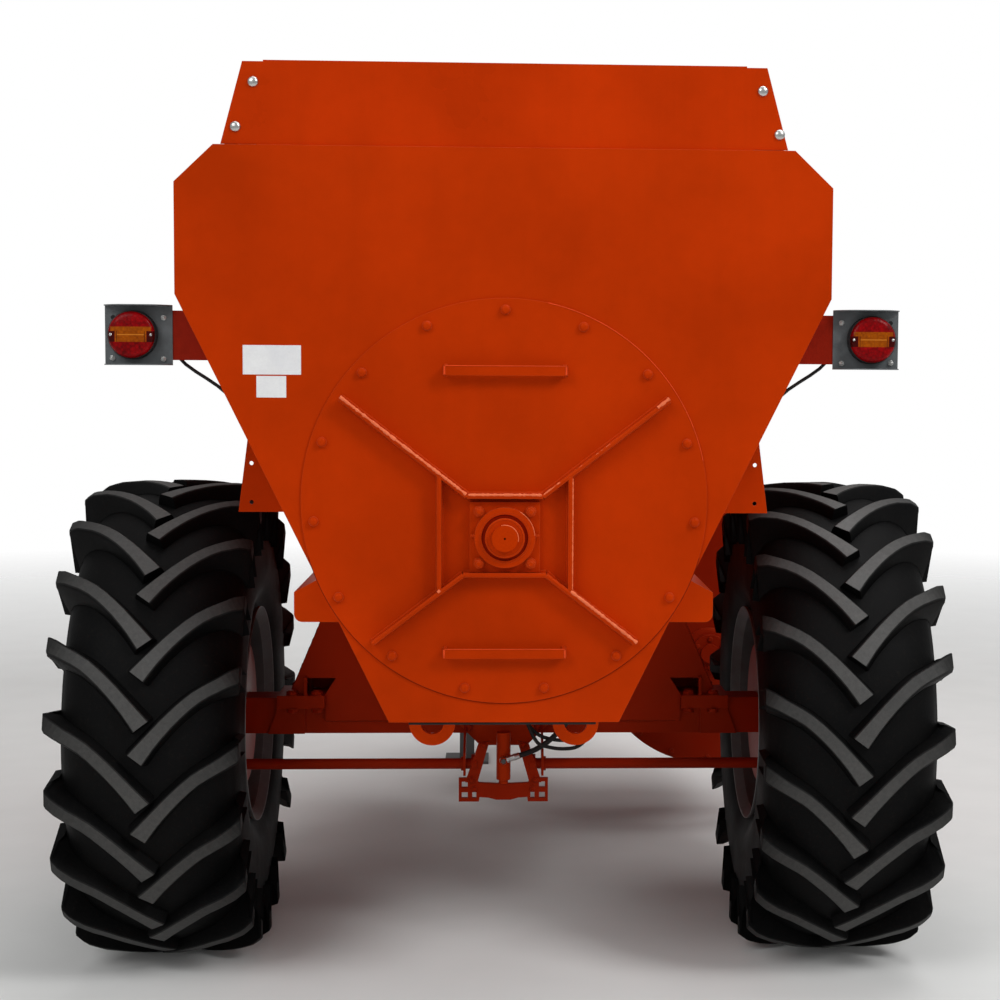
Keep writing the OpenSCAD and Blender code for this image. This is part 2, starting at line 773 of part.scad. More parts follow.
function lug_mid(i) = [lug_run[i][0] * tyre_w / 2, lug_run[i][1]];
function lug_edge(i, side) =
    let (
        last = len(lug_run) - 1,
        ahead = unit(lug_mid(min(i + 1, last)) - lug_mid(max(i - 1, 0)))
    )
    lug_mid(i) + side * [-ahead[1], ahead[0]] * lug_run[i][2] / 2;

// one lug of the right-hand row at the rear of the tyre, from deep in the carcass to past the tips
module lug() {
    last = len(lug_run) - 1;
    rotate([90, 0, 0]) translate([0, 0, carcass_r - 150]) linear_extrude(lug_h + 160)
        polygon(concat([for (i = [0 : last]) lug_edge(i, 1)], [for (i = [last : -1 : 0]) lug_edge(i, -1)]));
}

// the tyre about its own axis X; the lugs of its two rows are staggered by half a pitch and rise
// towards the shoulders at the rear
module tyre() {
    pitch = 360 / lug_count;
    tip_r = tyre_d / 2;
    color("black") difference() {
        union() {
            rotate([0, 90, 0]) rotate_extrude($fn = 72) carcass_section(0, bead_r);
            intersection() {
                rotate([0, 90, 0]) rotate_extrude($fn = 72) polygon(concat(
                    [[carcass_r - 140, -tip_line[5][0] * tyre_w / 2]],
                    [for (i = [5 : -1 : 0]) [tip_r - tip_line[i][1], -tip_line[i][0] * tyre_w / 2]],
                    [for (i = [1 : 5]) [tip_r - tip_line[i][1], tip_line[i][0] * tyre_w / 2]],
                    [[carcass_r - 140, tip_line[5][0] * tyre_w / 2]]
                ));
                for (i = [0 : lug_count - 1]) {
                    rotate([-i * pitch, 0, 0]) lug();
                    rotate([-(i + 0.5) * pitch, 0, 0]) mirror([1, 0, 0]) lug();
                }
            }
        }
        rotate([0, 90, 0]) rotate_extrude($fn = 72) carcass_section(tyre_wall, bead_r - 5);
    }
}

module tyre_left() translate([-track / 2, 0, wheel_z]) tyre();
module tyre_right() translate([track / 2, 0, wheel_z]) tyre();

// the rim: a dished disc in a rolled band with two flanges, drawn for the right-hand wheel
module rim(s) {
    r0 = bead_r - seat;
    well_r = r0 - 46;
    t = 8;
    f = rim_w / 2;
    // outer face of the band from one flange to its middle: radius and distance from the middle
    half = [[r0 + 20, f + 36], [r0 + 20, f + 26], [r0, f + 2], [r0 - 4, f - 60], [well_r, f - 110]];
    under = [[r0 - t, f + 6], [r0 - t - 6, f - 64], [well_r - t, f - 116]];
    band = concat(
        [for (p = half) [p[0], -p[1]]], [for (i = [4 : -1 : 0]) half[i]],
        under, [for (i = [2 : -1 : 0]) [under[i][0], -under[i][1]]]
    );
    color("silver") translate([s * track / 2, 0, wheel_z]) mirror([s > 0 ? 0 : 1, 0, 0]) difference() {
        rotate([0, 90, 0]) rotate_extrude($fn = 72) union() {
            polygon(band);
            polygon([
                [112, -60], [well_r - 60, -60], [well_r - 2, -10], [well_r - 2, 4],
                [well_r - 66, -48], [112, -48],
            ]);
        }
        for (i = [0 : stud_count - 1]) rotate([i * 360 / stud_count, 0, 0])
            translate([0, stud_pcd / 2, 0]) rod_x(11.5, -70, -40);
    }
}

module rim_left() rim(-1);
module rim_right() rim(1);

// hub, brake drum, studs with nuts and the hub cap, which turn with the wheel
module hub(s) {
    color("firebrick") translate([0, 0, wheel_z]) mirror([s > 0 ? 0 : 1, 0, 0]) difference() {
        union() {
            rod_x(200, drum_x0, drum_x1);
            rod_x(200, disc_x - 18, disc_x);
            rod_x(110, drum_x1 - 10, disc_x + 34);
            rod_x(70, disc_x + 30, disc_x + 74);
            for (i = [0 : stud_count - 1]) rotate([i * 360 / stud_count, 0, 0])
                translate([0, stud_pcd / 2, 0]) {
                    rod_x(11, disc_x - 6, disc_x + 40);
                    rod_x(17, disc_x + 12, disc_x + 30);
                }
        }
        rod_x(185, drum_x0 - 1, drum_x1 - 20);
        rod_x(stub_d / 2 + running, drum_x0 - 1, disc_x + 16);
    }
}

module hub_left() hub(-1);
module hub_right() hub(1);

// Chassis and drawbar

bolster_y0 = front_y - 130;
bolster_y1 = front_y - 10;
rail_y0 = -axle_beam / 2 - 60;
// wall of the chassis tubes
tube_t = 10;

module rail(s)
    color("firebrick") difference() {
        block(
            [s * (rail_x - rail_w / 2), rail_y0, rail_z],
            [s * (rail_x + rail_w / 2), bolster_y0, rail_z + rail_h]
        );
        block(
            [s * (rail_x - rail_w / 2 + tube_t), rail_y0 - 1, rail_z + tube_t],
            [s * (rail_x + rail_w / 2 - tube_t), bolster_y0 + 1, rail_z + rail_h - tube_t]
        );
    }

module rail_left() rail(-1);
module rail_right() rail(1);

drawbar_z = eye_z - drawbar_h / 2;
head_y0 = eye_y - 330;
head_y1 = eye_y - 110;
head_half = 85;
drawbar_foot = 330;

module front_bolster() {
    foot = drawbar_foot + 70;
    web = 12;
    window = [foot - 100, 120];
    color("firebrick") {
        for (y = [bolster_y0, bolster_y1 - web]) along_y(y, y + web) difference() {
            polygon([
                [-foot, rail_z + 150], [-foot, rail_z + 20], [-foot + 60, drawbar_z], [foot - 60, drawbar_z],
                [foot, rail_z + 20], [foot, rail_z + 150],
            ]);
            hopper_area();
            translate([-window[0] / 2, drawbar_z + 60]) square(window);
        }
        for (s = [-1, 1]) along_y(bolster_y0 + 1, bolster_y1 - 1) polygon([
            [s * foot, rail_z + 150], [s * foot, rail_z + 20], [s * (foot - 60), drawbar_z],
            [s * (foot - 220), drawbar_z], [s * (foot - 220), drawbar_z + web],
            [s * (foot - 68), drawbar_z + web],
            [s * (foot - web), rail_z + 24], [s * (foot - web), rail_z + 150],
        ]);
    }
}

// plan of a drawbar rail, narrower by d on each side and longer by extra at each end
module drawbar_plan(s, d, extra)
    polygon([
        [s * (drawbar_foot - drawbar_w / 2 + d), bolster_y1 - extra],
        [s * (drawbar_foot + drawbar_w / 2 - d), bolster_y1 - extra],
        [s * (head_half - d), head_y0 + extra], [s * (head_half - drawbar_w + d), head_y0 + extra],
    ]);

module drawbar_rail(s)
    color("firebrick") difference() {
        translate([0, 0, drawbar_z]) linear_extrude(drawbar_h) drawbar_plan(s, 0, 0);
        translate([0, 0, drawbar_z + tube_t])
            linear_extrude(drawbar_h - 2 * tube_t) drawbar_plan(s, tube_t, 1);
    }

module drawbar_left() drawbar_rail(-1);
module drawbar_right() drawbar_rail(1);

module drawbar_head() {
    neck = 34;
    color("firebrick") difference() {
        union() {
            block([-head_half, head_y0, drawbar_z], [head_half, head_y1, drawbar_z + drawbar_h]);
            block([-neck, head_y1, eye_z - eye_t / 2], [neck, eye_y, eye_z + eye_t / 2]);
            translate([0, eye_y, eye_z - eye_t / 2]) cylinder(r = eye_r, h = eye_t);
        }
        translate([0, eye_y, eye_z - eye_t]) cylinder(r = eye_hole_r, h = 2 * eye_t);
    }
}

jack_y = head_y0 - 110;
jack_tube_w = 90;
jack_wall = 8;
jack_leg_w = jack_tube_w - 2 * jack_wall - 2 * seat;
jack_x = -(drawbar_edge(jack_y) + 18 + jack_tube_w / 2);
jack_tube_z0 = 440;
// how far the leg reaches into its tube when it is down
jack_leg_in = 200;
jack_tube_z1 = jack_tube_z0 + jack_leg_in + jack_travel + 120;

// outer face of a drawbar rail at a distance along the machine
function drawbar_edge(y) =
    drawbar_foot + drawbar_w / 2
    - (drawbar_foot + drawbar_w / 2 - head_half) * (y - bolster_y1) / (head_y0 - bolster_y1);

module jack_tube() {
    w = jack_tube_w / 2;
    wall = jack_wall;
    crank_z = jack_tube_z1 - 30;
    color("firebrick") difference() {
        union() {
            block([jack_x - w, jack_y - w, jack_tube_z0], [jack_x + w, jack_y + w, jack_tube_z1]);
            translate([0, 0, eye_z - 55]) linear_extrude(110) polygon([
                [jack_x, jack_y - 70], [jack_x, jack_y + 70],
                [-drawbar_edge(jack_y + 70) - seat, jack_y + 70],
                [-drawbar_edge(jack_y - 70) - seat, jack_y - 70],
            ]);
            translate([0, jack_y, crank_z]) rod_x(9, jack_x - w - 96, jack_x);
            translate([jack_x - w - 88, jack_y, crank_z - 4]) cylinder(r = 10, h = 120);
        }
        block(
            [jack_x - w + wall, jack_y - w + wall, jack_tube_z0 - 1],
            [jack_x + w - wall, jack_y + w - wall, jack_tube_z1 - wall]
        );
    }
}

module jack_leg() {
    w = jack_leg_w / 2;
    foot = 110;
    foot_t = 14;
    color("silver") {
        block(
            [jack_x - w, jack_y - w, ground_z + foot_t],
            [jack_x + w, jack_y + w, jack_tube_z0 + jack_leg_in]
        );
        block([jack_x - foot, jack_y - foot, ground_z], [jack_x + foot, jack_y + foot, ground_z + foot_t]);
    }
}

// Rotor, its housing, the hood and the sliding door

// a sector about the rotor's axis, past the drum's wall, from angle a0 to a1, anticlockwise from +X
module drum_sector(a0, a1) {
    reach = housing_r + 3 * housing_t;
    polygon(concat([[0, 0]], [
        for (i = [0 : 6]) let (a = a0 + (a1 - a0) * i / 6) reach / cos(6) * [cos(a), sin(a)]
    ]));
}

// the housing's mouth faces the sloping side; its discharge opening lies between these two angles
mouth_a = 90 - slope_angle;
discharge_low_a = 183;
discharge_high_a = 116;
// room between the sloping side and the housing's top wall, in which the door slides
door_gap = 24;
// distance of the rotor's axis from the sloping side
rotor_reach = ([rotor_x, rotor_z] - [floor_half_w, floor_z]) * slope_out + panel_lip;

// the feed chute's outer wall stands this far from the rotor's axis, towards the hopper
chute_u = 150;
// the chute's lower wall lies this far below the rotor's axis
chute_low = 20;

// the housing's outline about the rotor's axis: a drum, and the feed chute that reaches the hopper
module housing_area(grow) {
    circle(r = housing_r + grow, $fn = 96);
    rotate(mouth_a) translate([chute_u - grow, -chute_low - grow])
        square([rotor_reach + 120 - chute_u + grow, chute_low + chute_high + 2 * grow]);
}

module rotor_housing() {
    boss_r = 78;
    color("orangered") difference() {
        union() {
            along_y(rotor_y0 - 1, rotor_y1 + 1) difference() {
                translate([-rotor_x, rotor_z]) difference() {
                    housing_area(housing_t);
                    housing_area(0);
                    drum_sector(discharge_high_a, discharge_low_a);
                    rotate(mouth_a) translate([rotor_reach - door_gap, 0])
                        square([200, chute_high + 2 * housing_t]);
                }
                hopper_area();
            }
            for (y = [rotor_y0 - housing_t, rotor_y1]) along_y(y, y + housing_t) difference() {
                translate([-rotor_x, rotor_z]) housing_area(housing_t);
                hopper_area();
            }
            translate([-rotor_x, 0, rotor_z]) {
                rod_y(boss_r, rotor_y0 - housing_t - 44, rotor_y0 - 1);
                rod_y(boss_r, rotor_y1 + 1, rotor_y1 + housing_t + 44);
            }
            for (y = hinge_stations) translate([hood_pin[0], 0, hood_pin[1]])
                rod_y(hinge_r, y - hinge_l / 2, y + hinge_l / 2);
        }
        for (y = hinge_stations) translate([hood_pin[0], 0, hood_pin[1]])
            rod_y(hood_pin_r + running, y - hinge_l, y + hinge_l);
        translate([-rotor_x, 0, rotor_z])
            rod_y(rotor_shaft_r + running, rotor_y0 - 3 * housing_t - 44, rotor_y1 + 3 * housing_t + 44);
    }
}

rotor_shaft_r = 40;
hood_pin_r = 16;
hinge_r = 29;
hinge_l = 34;
hinge_stations = [rotor_y0 + 70, rotor_y1 - 70];

module rotor() {
    disc_t = 10;
    y0 = rotor_y0 + 12;
    y1 = rotor_y1 - 12;
    color("dimgray") translate([-rotor_x, 0, rotor_z]) {
        rod_y(rotor_shaft_r, rotor_y0 - housing_t - 60, guard_y0 + 30);
        rod_y(110, y0, y1);
        for (y = [y0, y1 - disc_t]) rod_y(rotor_d / 2 - 70, y, y + disc_t);
        for (i = [0 : paddle_count - 1]) rotate([0, i * 360 / paddle_count, 0])
            block([-7, y0 + disc_t - 1, 100], [7, y1 - disc_t + 1, rotor_d / 2]);
    }
}

// the hood's pin, in X and Z, beside the top of the chute's outer wall
pin_u = chute_u - housing_t - 26;
pin_v = chute_high - 20;
hood_pin = [
    -rotor_x + pin_u * cos(mouth_a) - pin_v * sin(mouth_a),
    rotor_z + pin_u * sin(mouth_a) + pin_v * cos(mouth_a),
];
hood_gap = 8;
hood_t = 6;
// the hood's bend and its lip, from the rotor's axis, as shares of the housing's radius
hood_bend = [-0.8, 0.936];
hood_lip = [-0.983, 0.457];

// the hood: a bent plate hinged above the discharge opening, with a cheek at each end
module discharge_hood() {
    bend = [-rotor_x, rotor_z] + housing_r * hood_bend;
    lip = [-rotor_x, rotor_z] + housing_r * hood_lip;
    y0 = rotor_y0 - housing_t - hood_gap;
    y1 = rotor_y1 + housing_t + hood_gap;
    color("orangered") {
        translate([hood_pin[0], 0, hood_pin[1]]) rod_y(hood_pin_r, y0 - hood_t, y1 + hood_t);
        difference() {
            along_y(y0 - 1, y1 + 1) polygon([
                hood_pin + [-4, 15], bend + [0, hood_t], lip + [-hood_t, 0], lip, bend + [2, 0],
                hood_pin + [-6, 5],
            ]);
            for (y = hinge_stations) translate([hood_pin[0], 0, hood_pin[1]])
                rod_y(hinge_r + 5, y - hinge_l / 2 - 5, y + hinge_l / 2 + 5);
        }
        for (y = [y0 - hood_t, y1]) along_y(y, y + hood_t)
            polygon([
                hood_pin + [18, -14], hood_pin + [10, 14], hood_pin + [-4, 15], bend + [0, hood_t],
                lip + [-hood_t, 0], lip + [70, 30], bend + [90, -120],
            ]);
    }
}

// the door's plate reaches past the top of the housing, where its cross bar takes the ram's rod
door_side = 24;
door_foot_s = door_s - 30;
housing_top_s = [rotor_x - floor_half_w, rotor_z - floor_z] * slope + chute_high + housing_t;
door_head_s = housing_top_s + 60;
door_bar = 40;
ram_off = -(rotor_l / 2 + housing_t + 60);
ram_lift = 34;
// the ram's barrel ends this far below the door's cross bar
ram_s1 = door_head_s - door_bar - 16;
ram_r = 27;
ram_rod_r = 14;

module discharge_door() {
    half = door_open_l / 2 + door_side;
    bar_s = door_head_s - door_bar;
    rod_s = ram_s1 - door_travel - 30;
    eye_half = 24;
    color("orangered") on_left_slope() {
        translate([door_foot_s, -half, seat]) cube([door_head_s - door_foot_s, 2 * half, door_t]);
        translate([bar_s, ram_off - eye_half, seat]) cube([door_bar, half - ram_off + eye_half, door_t + 4]);
        translate([bar_s, ram_off - eye_half, door_t]) cube([door_bar, 2 * eye_half, ram_lift - door_t + 6]);
        translate([rod_s, ram_off, ram_lift]) rotate([0, 90, 0])
            cylinder(r = ram_rod_r, h = bar_s + 10 - rod_s);
    }
}

// guides that hold the door's edges against the sloping side
module door_guides() {
    half = door_open_l / 2 + door_side;
    s0 = door_foot_s - 20;
    s1 = door_head_s - door_bar - 6;
    color("firebrick") on_left_slope() for (m = [0, 1]) mirror([0, m, 0]) {
        translate([s0, half + 1, seat]) cube([s1 - s0, 16, door_t + 8]);
        translate([s0, half - 16, door_t + 2]) cube([s1 - s0, 18, 6 + seat]);
    }
}

module door_ram_barrel() {
    s0 = ram_s1 - door_travel - 60;
    foot_l = 30;
    color("dimgray") on_left_slope() translate([0, ram_off, ram_lift]) difference() {
        union() {
            translate([s0, 0, 0]) rotate([0, 90, 0]) cylinder(r = ram_r, h = ram_s1 - s0);
            for (x = [s0 + 4, ram_s1 - 44]) translate([x, -ram_r, seat - ram_lift])
                cube([foot_l, 2 * ram_r, ram_lift]);
        }
        translate([s0 + 20, 0, 0]) rotate([0, 90, 0]) cylinder(r = ram_rod_r + running, h = ram_s1 - s0);
    }
}

// Drive at the front

guard_y0 = front_y + 70;
guard_y1 = front_y + 190;
gearbox_z = 940;

// area of the chain guard in X and Z, moved inwards by d
module guard_area(d) hull() {
    translate([0, auger_z]) circle(r = 210 - d, $fn = 32);
    translate([0, gearbox_z]) circle(r = 120 - d, $fn = 32);
    translate([-rotor_x, rotor_z]) circle(r = 110 - d, $fn = 32);
}

module drive_guard() {
    t = 8;
    mount_h = guard_y0 - front_y;
    color("orangered") difference() {
        union() {
            along_y(guard_y0, guard_y1) guard_area(0);
            for (p = [[-180, auger_z + 60], [180, auger_z + 60], [-340, auger_z - 298]])
                block([p[0] - 20, front_y, p[1] - 20], [p[0] + 20, front_y + mount_h + 1, p[1] + 20]);
        }
        along_y(guard_y0 + t, guard_y1 - t) guard_area(t);
        translate([0, 0, auger_z]) rod_y(journal_d / 2 + seat, guard_y0 - 1, guard_y0 + t + 1);
        translate([-rotor_x, 0, rotor_z]) rod_y(rotor_shaft_r + seat, guard_y0 - 1, guard_y0 + t + 1);
    }
}

// the gearbox's length along the shaft, and that of the seal's collar in front of it
gearbox_l = 260;
collar_l = 30;
gearbox_y0 = guard_y1 + seat;
pto_y0 = gearbox_y0 + gearbox_l + collar_l + seat;
pto_l = 90;

module gearbox() {
    half_w = 130;
    rise = 120;
    sump_w = 300;
    plate_w = 500;
    plate_t = 12;
    inset_y = 20;
    foot_z = drawbar_z + drawbar_h;
    sump_y1 = gearbox_y0 + gearbox_l - inset_y;
    color("dimgray") {
        block([-half_w, gearbox_y0, gearbox_z - half_w], [half_w, gearbox_y0 + gearbox_l, gearbox_z + rise]);
        block([-sump_w / 2, gearbox_y0 + inset_y, foot_z], [sump_w / 2, sump_y1, gearbox_z - half_w + 1]);
        block([-plate_w / 2, gearbox_y0 + inset_y, foot_z], [plate_w / 2, sump_y1, foot_z + plate_t]);
        translate([0, 0, gearbox_z]) rod_y(60, gearbox_y0 + gearbox_l - 1, pto_y0 - seat);
    }
}

module pto_shaft() {
    color("silver") translate([0, 0, gearbox_z]) rod_y(17.3, pto_y0, pto_y0 + pto_l);
}

// the plastic cone round the input stub, held on the gearbox's collar
module pto_guard() {
    base_r = 61;
    mouth_r = 92;
    wall = 5;
    color("gold") translate([0, pto_y0 - collar_l / 2, gearbox_z]) rotate([-90, 0, 0]) rotate_extrude()
        polygon([
            [base_r - 1 + seat, 0], [base_r + wall, 0], [mouth_r + wall, pto_l + 30], [mouth_r, pto_l + 30],
            [base_r - 1 + seat, wall],
        ]);
}

// Ladder at the front, on the side away from the rotor

ladder_w = 360;
ladder_z0 = 1150;
ladder_z1 = top_z - 40;
// outer stile, which stays in front of the end panel's upper part
ladder_x1 = top_half_w + 8;

module ladder() {
    stile = 15;
    rung_r = 14;
    rung_step = 260;
    x0 = ladder_x1 - ladder_w;
    y0 = front_y + 60;
    color("firebrick") {
        for (x = [x0, ladder_x1]) {
            block([x - stile, y0, ladder_z0], [x + stile, y0 + 40, ladder_z1]);
            for (z = [ladder_z1 - 2 * rung_step, ladder_z1 - 40])
                block([x - stile, front_y, z], [x + stile, y0, z + 30]);
        }
        for (z = [ladder_z0 + 30 : rung_step : ladder_z1 - 80])
            translate([0, y0 + 20, z]) rod_x(rung_r, x0, ladder_x1);
    }
}

// Lamps and the rear lugs

module lamp_guard(s) {
    arm_y = rear_y + 96;
    arm_h = 142;
    mid = lamp_x - 14;
    w = lamp_guard_w / 2;
    h = lamp_guard_h / 2;
    reach = 62;
    z0 = lamp_z - arm_h / 2;
    z1 = lamp_z + arm_h / 2;
    color("firebrick") along_y(arm_y + 3, arm_y + 11) polygon([
        [s * (slope_x(z0) + seat), z0], [s * (mid + w - 30), z0],
        [s * (mid + w - 30), z1], [s * (slope_x(z1) + seat), z1],
    ]);
    color("gray") {
        block([s * (mid - w), arm_y, lamp_z - h], [s * (mid + w), arm_y + 3, lamp_z + h]);
        for (z = [lamp_z - h, lamp_z + h - 3]) translate([s * mid, 0, z]) linear_extrude(3) intersection() {
            translate([0, arm_y + 40]) circle(r = w + 14);
            translate([-w, arm_y - reach]) square([2 * w, reach]);
        }
    }
}

module lamp_guard_left() lamp_guard(-1);
module lamp_guard_right() lamp_guard(1);

module lamp(s)
    color("red") translate([s * lamp_x, 0, lamp_z]) rod_y(lamp_d / 2, rear_y + 46, rear_y + 96 - seat);
module lamp_left() lamp(-1);
module lamp_right() lamp(1);

// a round cord along a route: one ring of eight sides across the way at every point; up is a
// direction that the route never takes
module cord(route, r, up) {
    sides = 8;
    last = len(route) - 1;
    function ahead(i) = unit(route[min(i + 1, last)] - route[max(i - 1, 0)]);
    function across(i) = unit(cross(ahead(i), up));
    points = [
        for (i = [0 : last]) for (k = [0 : sides - 1])
            let (a = k * 360 / sides, out = across(i))
                route[i] + r * (cos(a) * out + sin(a) * cross(out, ahead(i)))
    ];
    walls = [
        for (i = [0 : last - 1]) for (k = [0 : sides - 1])
            let (a = i * sides + k, b = i * sides + (k + 1) % sides)
                each [[a, b, a + sides], [b, b + sides, a + sides]]
    ];
    ends = [[for (k = [sides - 1 : -1 : 0]) k], [for (k = [0 : sides - 1]) last * sides + k]];
    polyhedron(points, concat(walls, ends), convexity = 10);
}

// a lamp's cable, from the back of its arm to the end wall of the stringer, in which it goes on
module lamp_cable(s)
    color("black") cord(
        [for (p = lamp_route) [s * (slope_x(p[1]) + p[0]), rear_y + p[2], p[1]]], lamp_cable_d / 2, [1, 0, 0]
    );

module lamp_cable_left() lamp_cable(-1);
module lamp_cable_right() lamp_cable(1);
module brake_hose() color("black") cord(hose_route, hose_d / 2, [0, 0, 1]);

// the eyes' distance from the middle, the height of their centres, their outer and hole radii, and the
// distance of their rear faces from that of the rear panel
lug_eye_x = 215;
lug_eye_z = 919;
lug_eye_r = 69;
lug_hole_r = 35;
lug_ahead = 210;

// two towing eyes that hang from the trough near the hopper's rear end
module rear_lugs() {
    t = 20;
    y0 = rear_y + lug_ahead;
    color("firebrick") for (s = [-1, 1]) difference() {
        along_y(y0, y0 + t) translate([s * lug_eye_x, lug_eye_z]) union() {
            circle(r = lug_eye_r);
            translate([-lug_eye_r, 0]) square([2 * lug_eye_r, lug_eye_r + 65]);
        }
        translate([s * lug_eye_x, 0, lug_eye_z]) rod_y(lug_hole_r, y0 - t, y0 + 2 * t);
        translate([0, 0, auger_z]) rod_y(trough_r + seat, y0 - t, y0 + 2 * t, $fn = 120);
    }
}

from_axle() hopper_left();
from_axle() hopper_right();
from_axle() hopper_trough();
from_axle() rear_panel();
from_axle() front_panel();
from_axle() extension_rear();
from_axle() extension_front();
from_axle() extension_left();
from_axle() extension_right();
from_axle() rear_cover();
from_axle() rear_bearing();
from_axle() front_bearing();
from_axle() auger_tube();
from_axle() auger_flight();
from_axle() stringer_left();
from_axle() stringer_right();
from_axle() wing_plates_left();
from_axle() wing_plates_right();
from_axle() axle_saddle();
from_axle() axle();
from_axle() axle_seats();
from_axle() brake_linkage();
from_axle() brake_ram();
from_axle() rail_left();
from_axle() rail_right();
from_axle() front_bolster();
from_axle() drawbar_left();
from_axle() drawbar_right();
from_axle() drawbar_head();
from_axle() jack_tube();
from_axle() jack_leg();
from_axle() throw_side() rotor_housing();
from_axle() throw_side() rotor();
from_axle() throw_side() discharge_hood();
from_axle() throw_side() discharge_door();
from_axle() throw_side() door_guides();
from_axle() throw_side() door_ram_barrel();
from_axle() throw_side() drive_guard();
from_axle() gearbox();
from_axle() pto_shaft();
from_axle() pto_guard();
from_axle() throw_side() ladder();
from_axle() lamp_guard_left();
from_axle() lamp_guard_right();
from_axle() lamp_left();
from_axle() lamp_right();
from_axle() lamp_cable_left();
from_axle() lamp_cable_right();
from_axle() brake_hose();
from_axle() rear_lugs();
from_axle() hub_left();
from_axle() hub_right();
from_axle() rim_left();
from_axle() rim_right();
from_axle() tyre_left();
from_axle() tyre_right();
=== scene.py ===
import random
from math import cos, hypot, pi, radians, sin, sqrt
import bpy
from mathutils import Matrix, Vector


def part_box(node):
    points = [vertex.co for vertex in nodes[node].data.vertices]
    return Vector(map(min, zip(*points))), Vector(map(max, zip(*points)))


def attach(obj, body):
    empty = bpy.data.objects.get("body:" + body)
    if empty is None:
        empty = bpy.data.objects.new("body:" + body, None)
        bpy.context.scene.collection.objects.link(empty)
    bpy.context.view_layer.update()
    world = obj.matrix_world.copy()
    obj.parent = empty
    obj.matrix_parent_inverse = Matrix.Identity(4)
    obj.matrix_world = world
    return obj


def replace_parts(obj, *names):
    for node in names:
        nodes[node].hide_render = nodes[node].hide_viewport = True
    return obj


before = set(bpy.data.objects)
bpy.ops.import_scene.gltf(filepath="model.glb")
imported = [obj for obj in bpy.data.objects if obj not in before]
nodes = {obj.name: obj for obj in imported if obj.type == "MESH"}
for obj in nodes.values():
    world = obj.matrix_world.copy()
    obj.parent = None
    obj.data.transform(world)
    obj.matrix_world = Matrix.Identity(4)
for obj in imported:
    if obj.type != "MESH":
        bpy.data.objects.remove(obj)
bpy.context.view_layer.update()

scene = bpy.context.scene
rng = random.Random(7)

# the axle's place along the machine; the places below are given from the axle
lo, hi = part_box("axle")
AXLE_Y = (lo.y + hi.y) / 2


def P(x, y, z):
    """a place from the middle, the axle and the ground"""
    return Vector((x, y + AXLE_Y, z))


# the auger's axis, the wheels' and the rotor's, and the rear panel's and front panel's outer faces
AUGER_Z, WHEEL_X, HUB_Z = 1.498, 1.095, 0.800
ROTOR_X, ROTOR_Z = 0.875, 0.795
REAR, FRONT_Y = -1.026, 2.124

# ---------------------------------------------------------------- camera
# fitted to the photo: its place, its angles, and its focal length in pixels of a picture this wide
CAMERA_AT = P(-0.0116, -6.165, 1.945)
YAW, PITCH, ROLL = radians(-2.523), radians(3.803), radians(-0.354)
FOCAL_PX, PICTURE_PX, SENSOR_MM = 1799.7, 1000, 36
SHIFT_X = -0.08
cam_data = bpy.data.cameras.new("camera")
cam = bpy.data.objects.new("camera", cam_data)
scene.collection.objects.link(cam)
turn = Matrix.Rotation(YAW, 3, "Z") @ Matrix.Rotation(-PITCH, 3, "X") @ Matrix.Rotation(ROLL, 3, "Y")
right, ahead, up = turn.col[0], turn.col[1], turn.col[2]
axes = Matrix((right, up, -ahead)).transposed()
cam.matrix_world = Matrix.Translation(CAMERA_AT) @ axes.to_4x4()
cam_data.sensor_width = SENSOR_MM
cam_data.lens = FOCAL_PX / PICTURE_PX * SENSOR_MM
cam_data.shift_x = SHIFT_X
cam_data.clip_end = 200
scene.camera = cam

# ---------------------------------------------------------------- light, floor and backdrop
scene.view_settings.view_transform = "Standard"


def put(tree, kind, inputs=None, **props):
    """a new node, its inputs linked or set and its properties set"""
    n = tree.nodes.new(kind)
    for k, v in props.items():
        setattr(n, k, v)
    for k, v in (inputs or {}).items():
        if isinstance(v, bpy.types.NodeSocket):
            tree.links.new(v, n.inputs[k])
        else:
            n.inputs[k].default_value = v
    return n


def math(tree, op, a, b=0.0, clamp=False):
    return put(tree, "ShaderNodeMath", {0: a, 1: b}, operation=op, use_clamp=clamp).outputs[0]


def ramp(tree, value, a, b, lo=0.0, hi=1.0):
    """lo where value is a or less, hi where it is b or more"""
    ends = {"Value": value, "From Min": a, "From Max": b, "To Min": lo, "To Max": hi}
    return put(tree, "ShaderNodeMapRange", ends, clamp=True).outputs[0]


def times(tree, a, *others):
    """the product"""
    for b in others:
        a = math(tree, "MULTIPLY", a, b)
    return a


def noise(tree, vector, scale, detail, rough=0.5):
    inputs = {"Vector": vector, "Scale": scale, "Detail": detail, "Roughness": rough}
    return put(tree, "ShaderNodeTexNoise", inputs).outputs["Fac"]


def parts(tree, vector):
    """the vector's X, Y and Z"""
    return put(tree, "ShaderNodeSeparateXYZ", {0: vector}).outputs


def paint(tree, color, rough, bump, more):
    """the shader with its bump and further inputs, and the output"""
    inputs = {"Base Color": color, "Roughness": rough, "Normal": put(tree, "ShaderNodeBump", bump).outputs[0]}
    bsdf = put(tree, "ShaderNodeBsdfPrincipled", inputs | more)
    put(tree, "ShaderNodeOutputMaterial", {"Surface": bsdf.outputs[0]})


def mix(tree, share, a, b):
    """colour a at share 0, colour b at share 1"""
    n = put(tree, "ShaderNodeMix", data_type="RGBA", blend_type="MIX")
    for key, v in ((0, share), (6, a), (7, b)):
        if isinstance(v, bpy.types.NodeSocket):
            tree.links.new(v, n.inputs[key])
        elif key == 0:
            n.inputs[0].default_value = v
        else:
            n.inputs[key].default_value = (*v[:3], 1)
    return n.outputs[2]


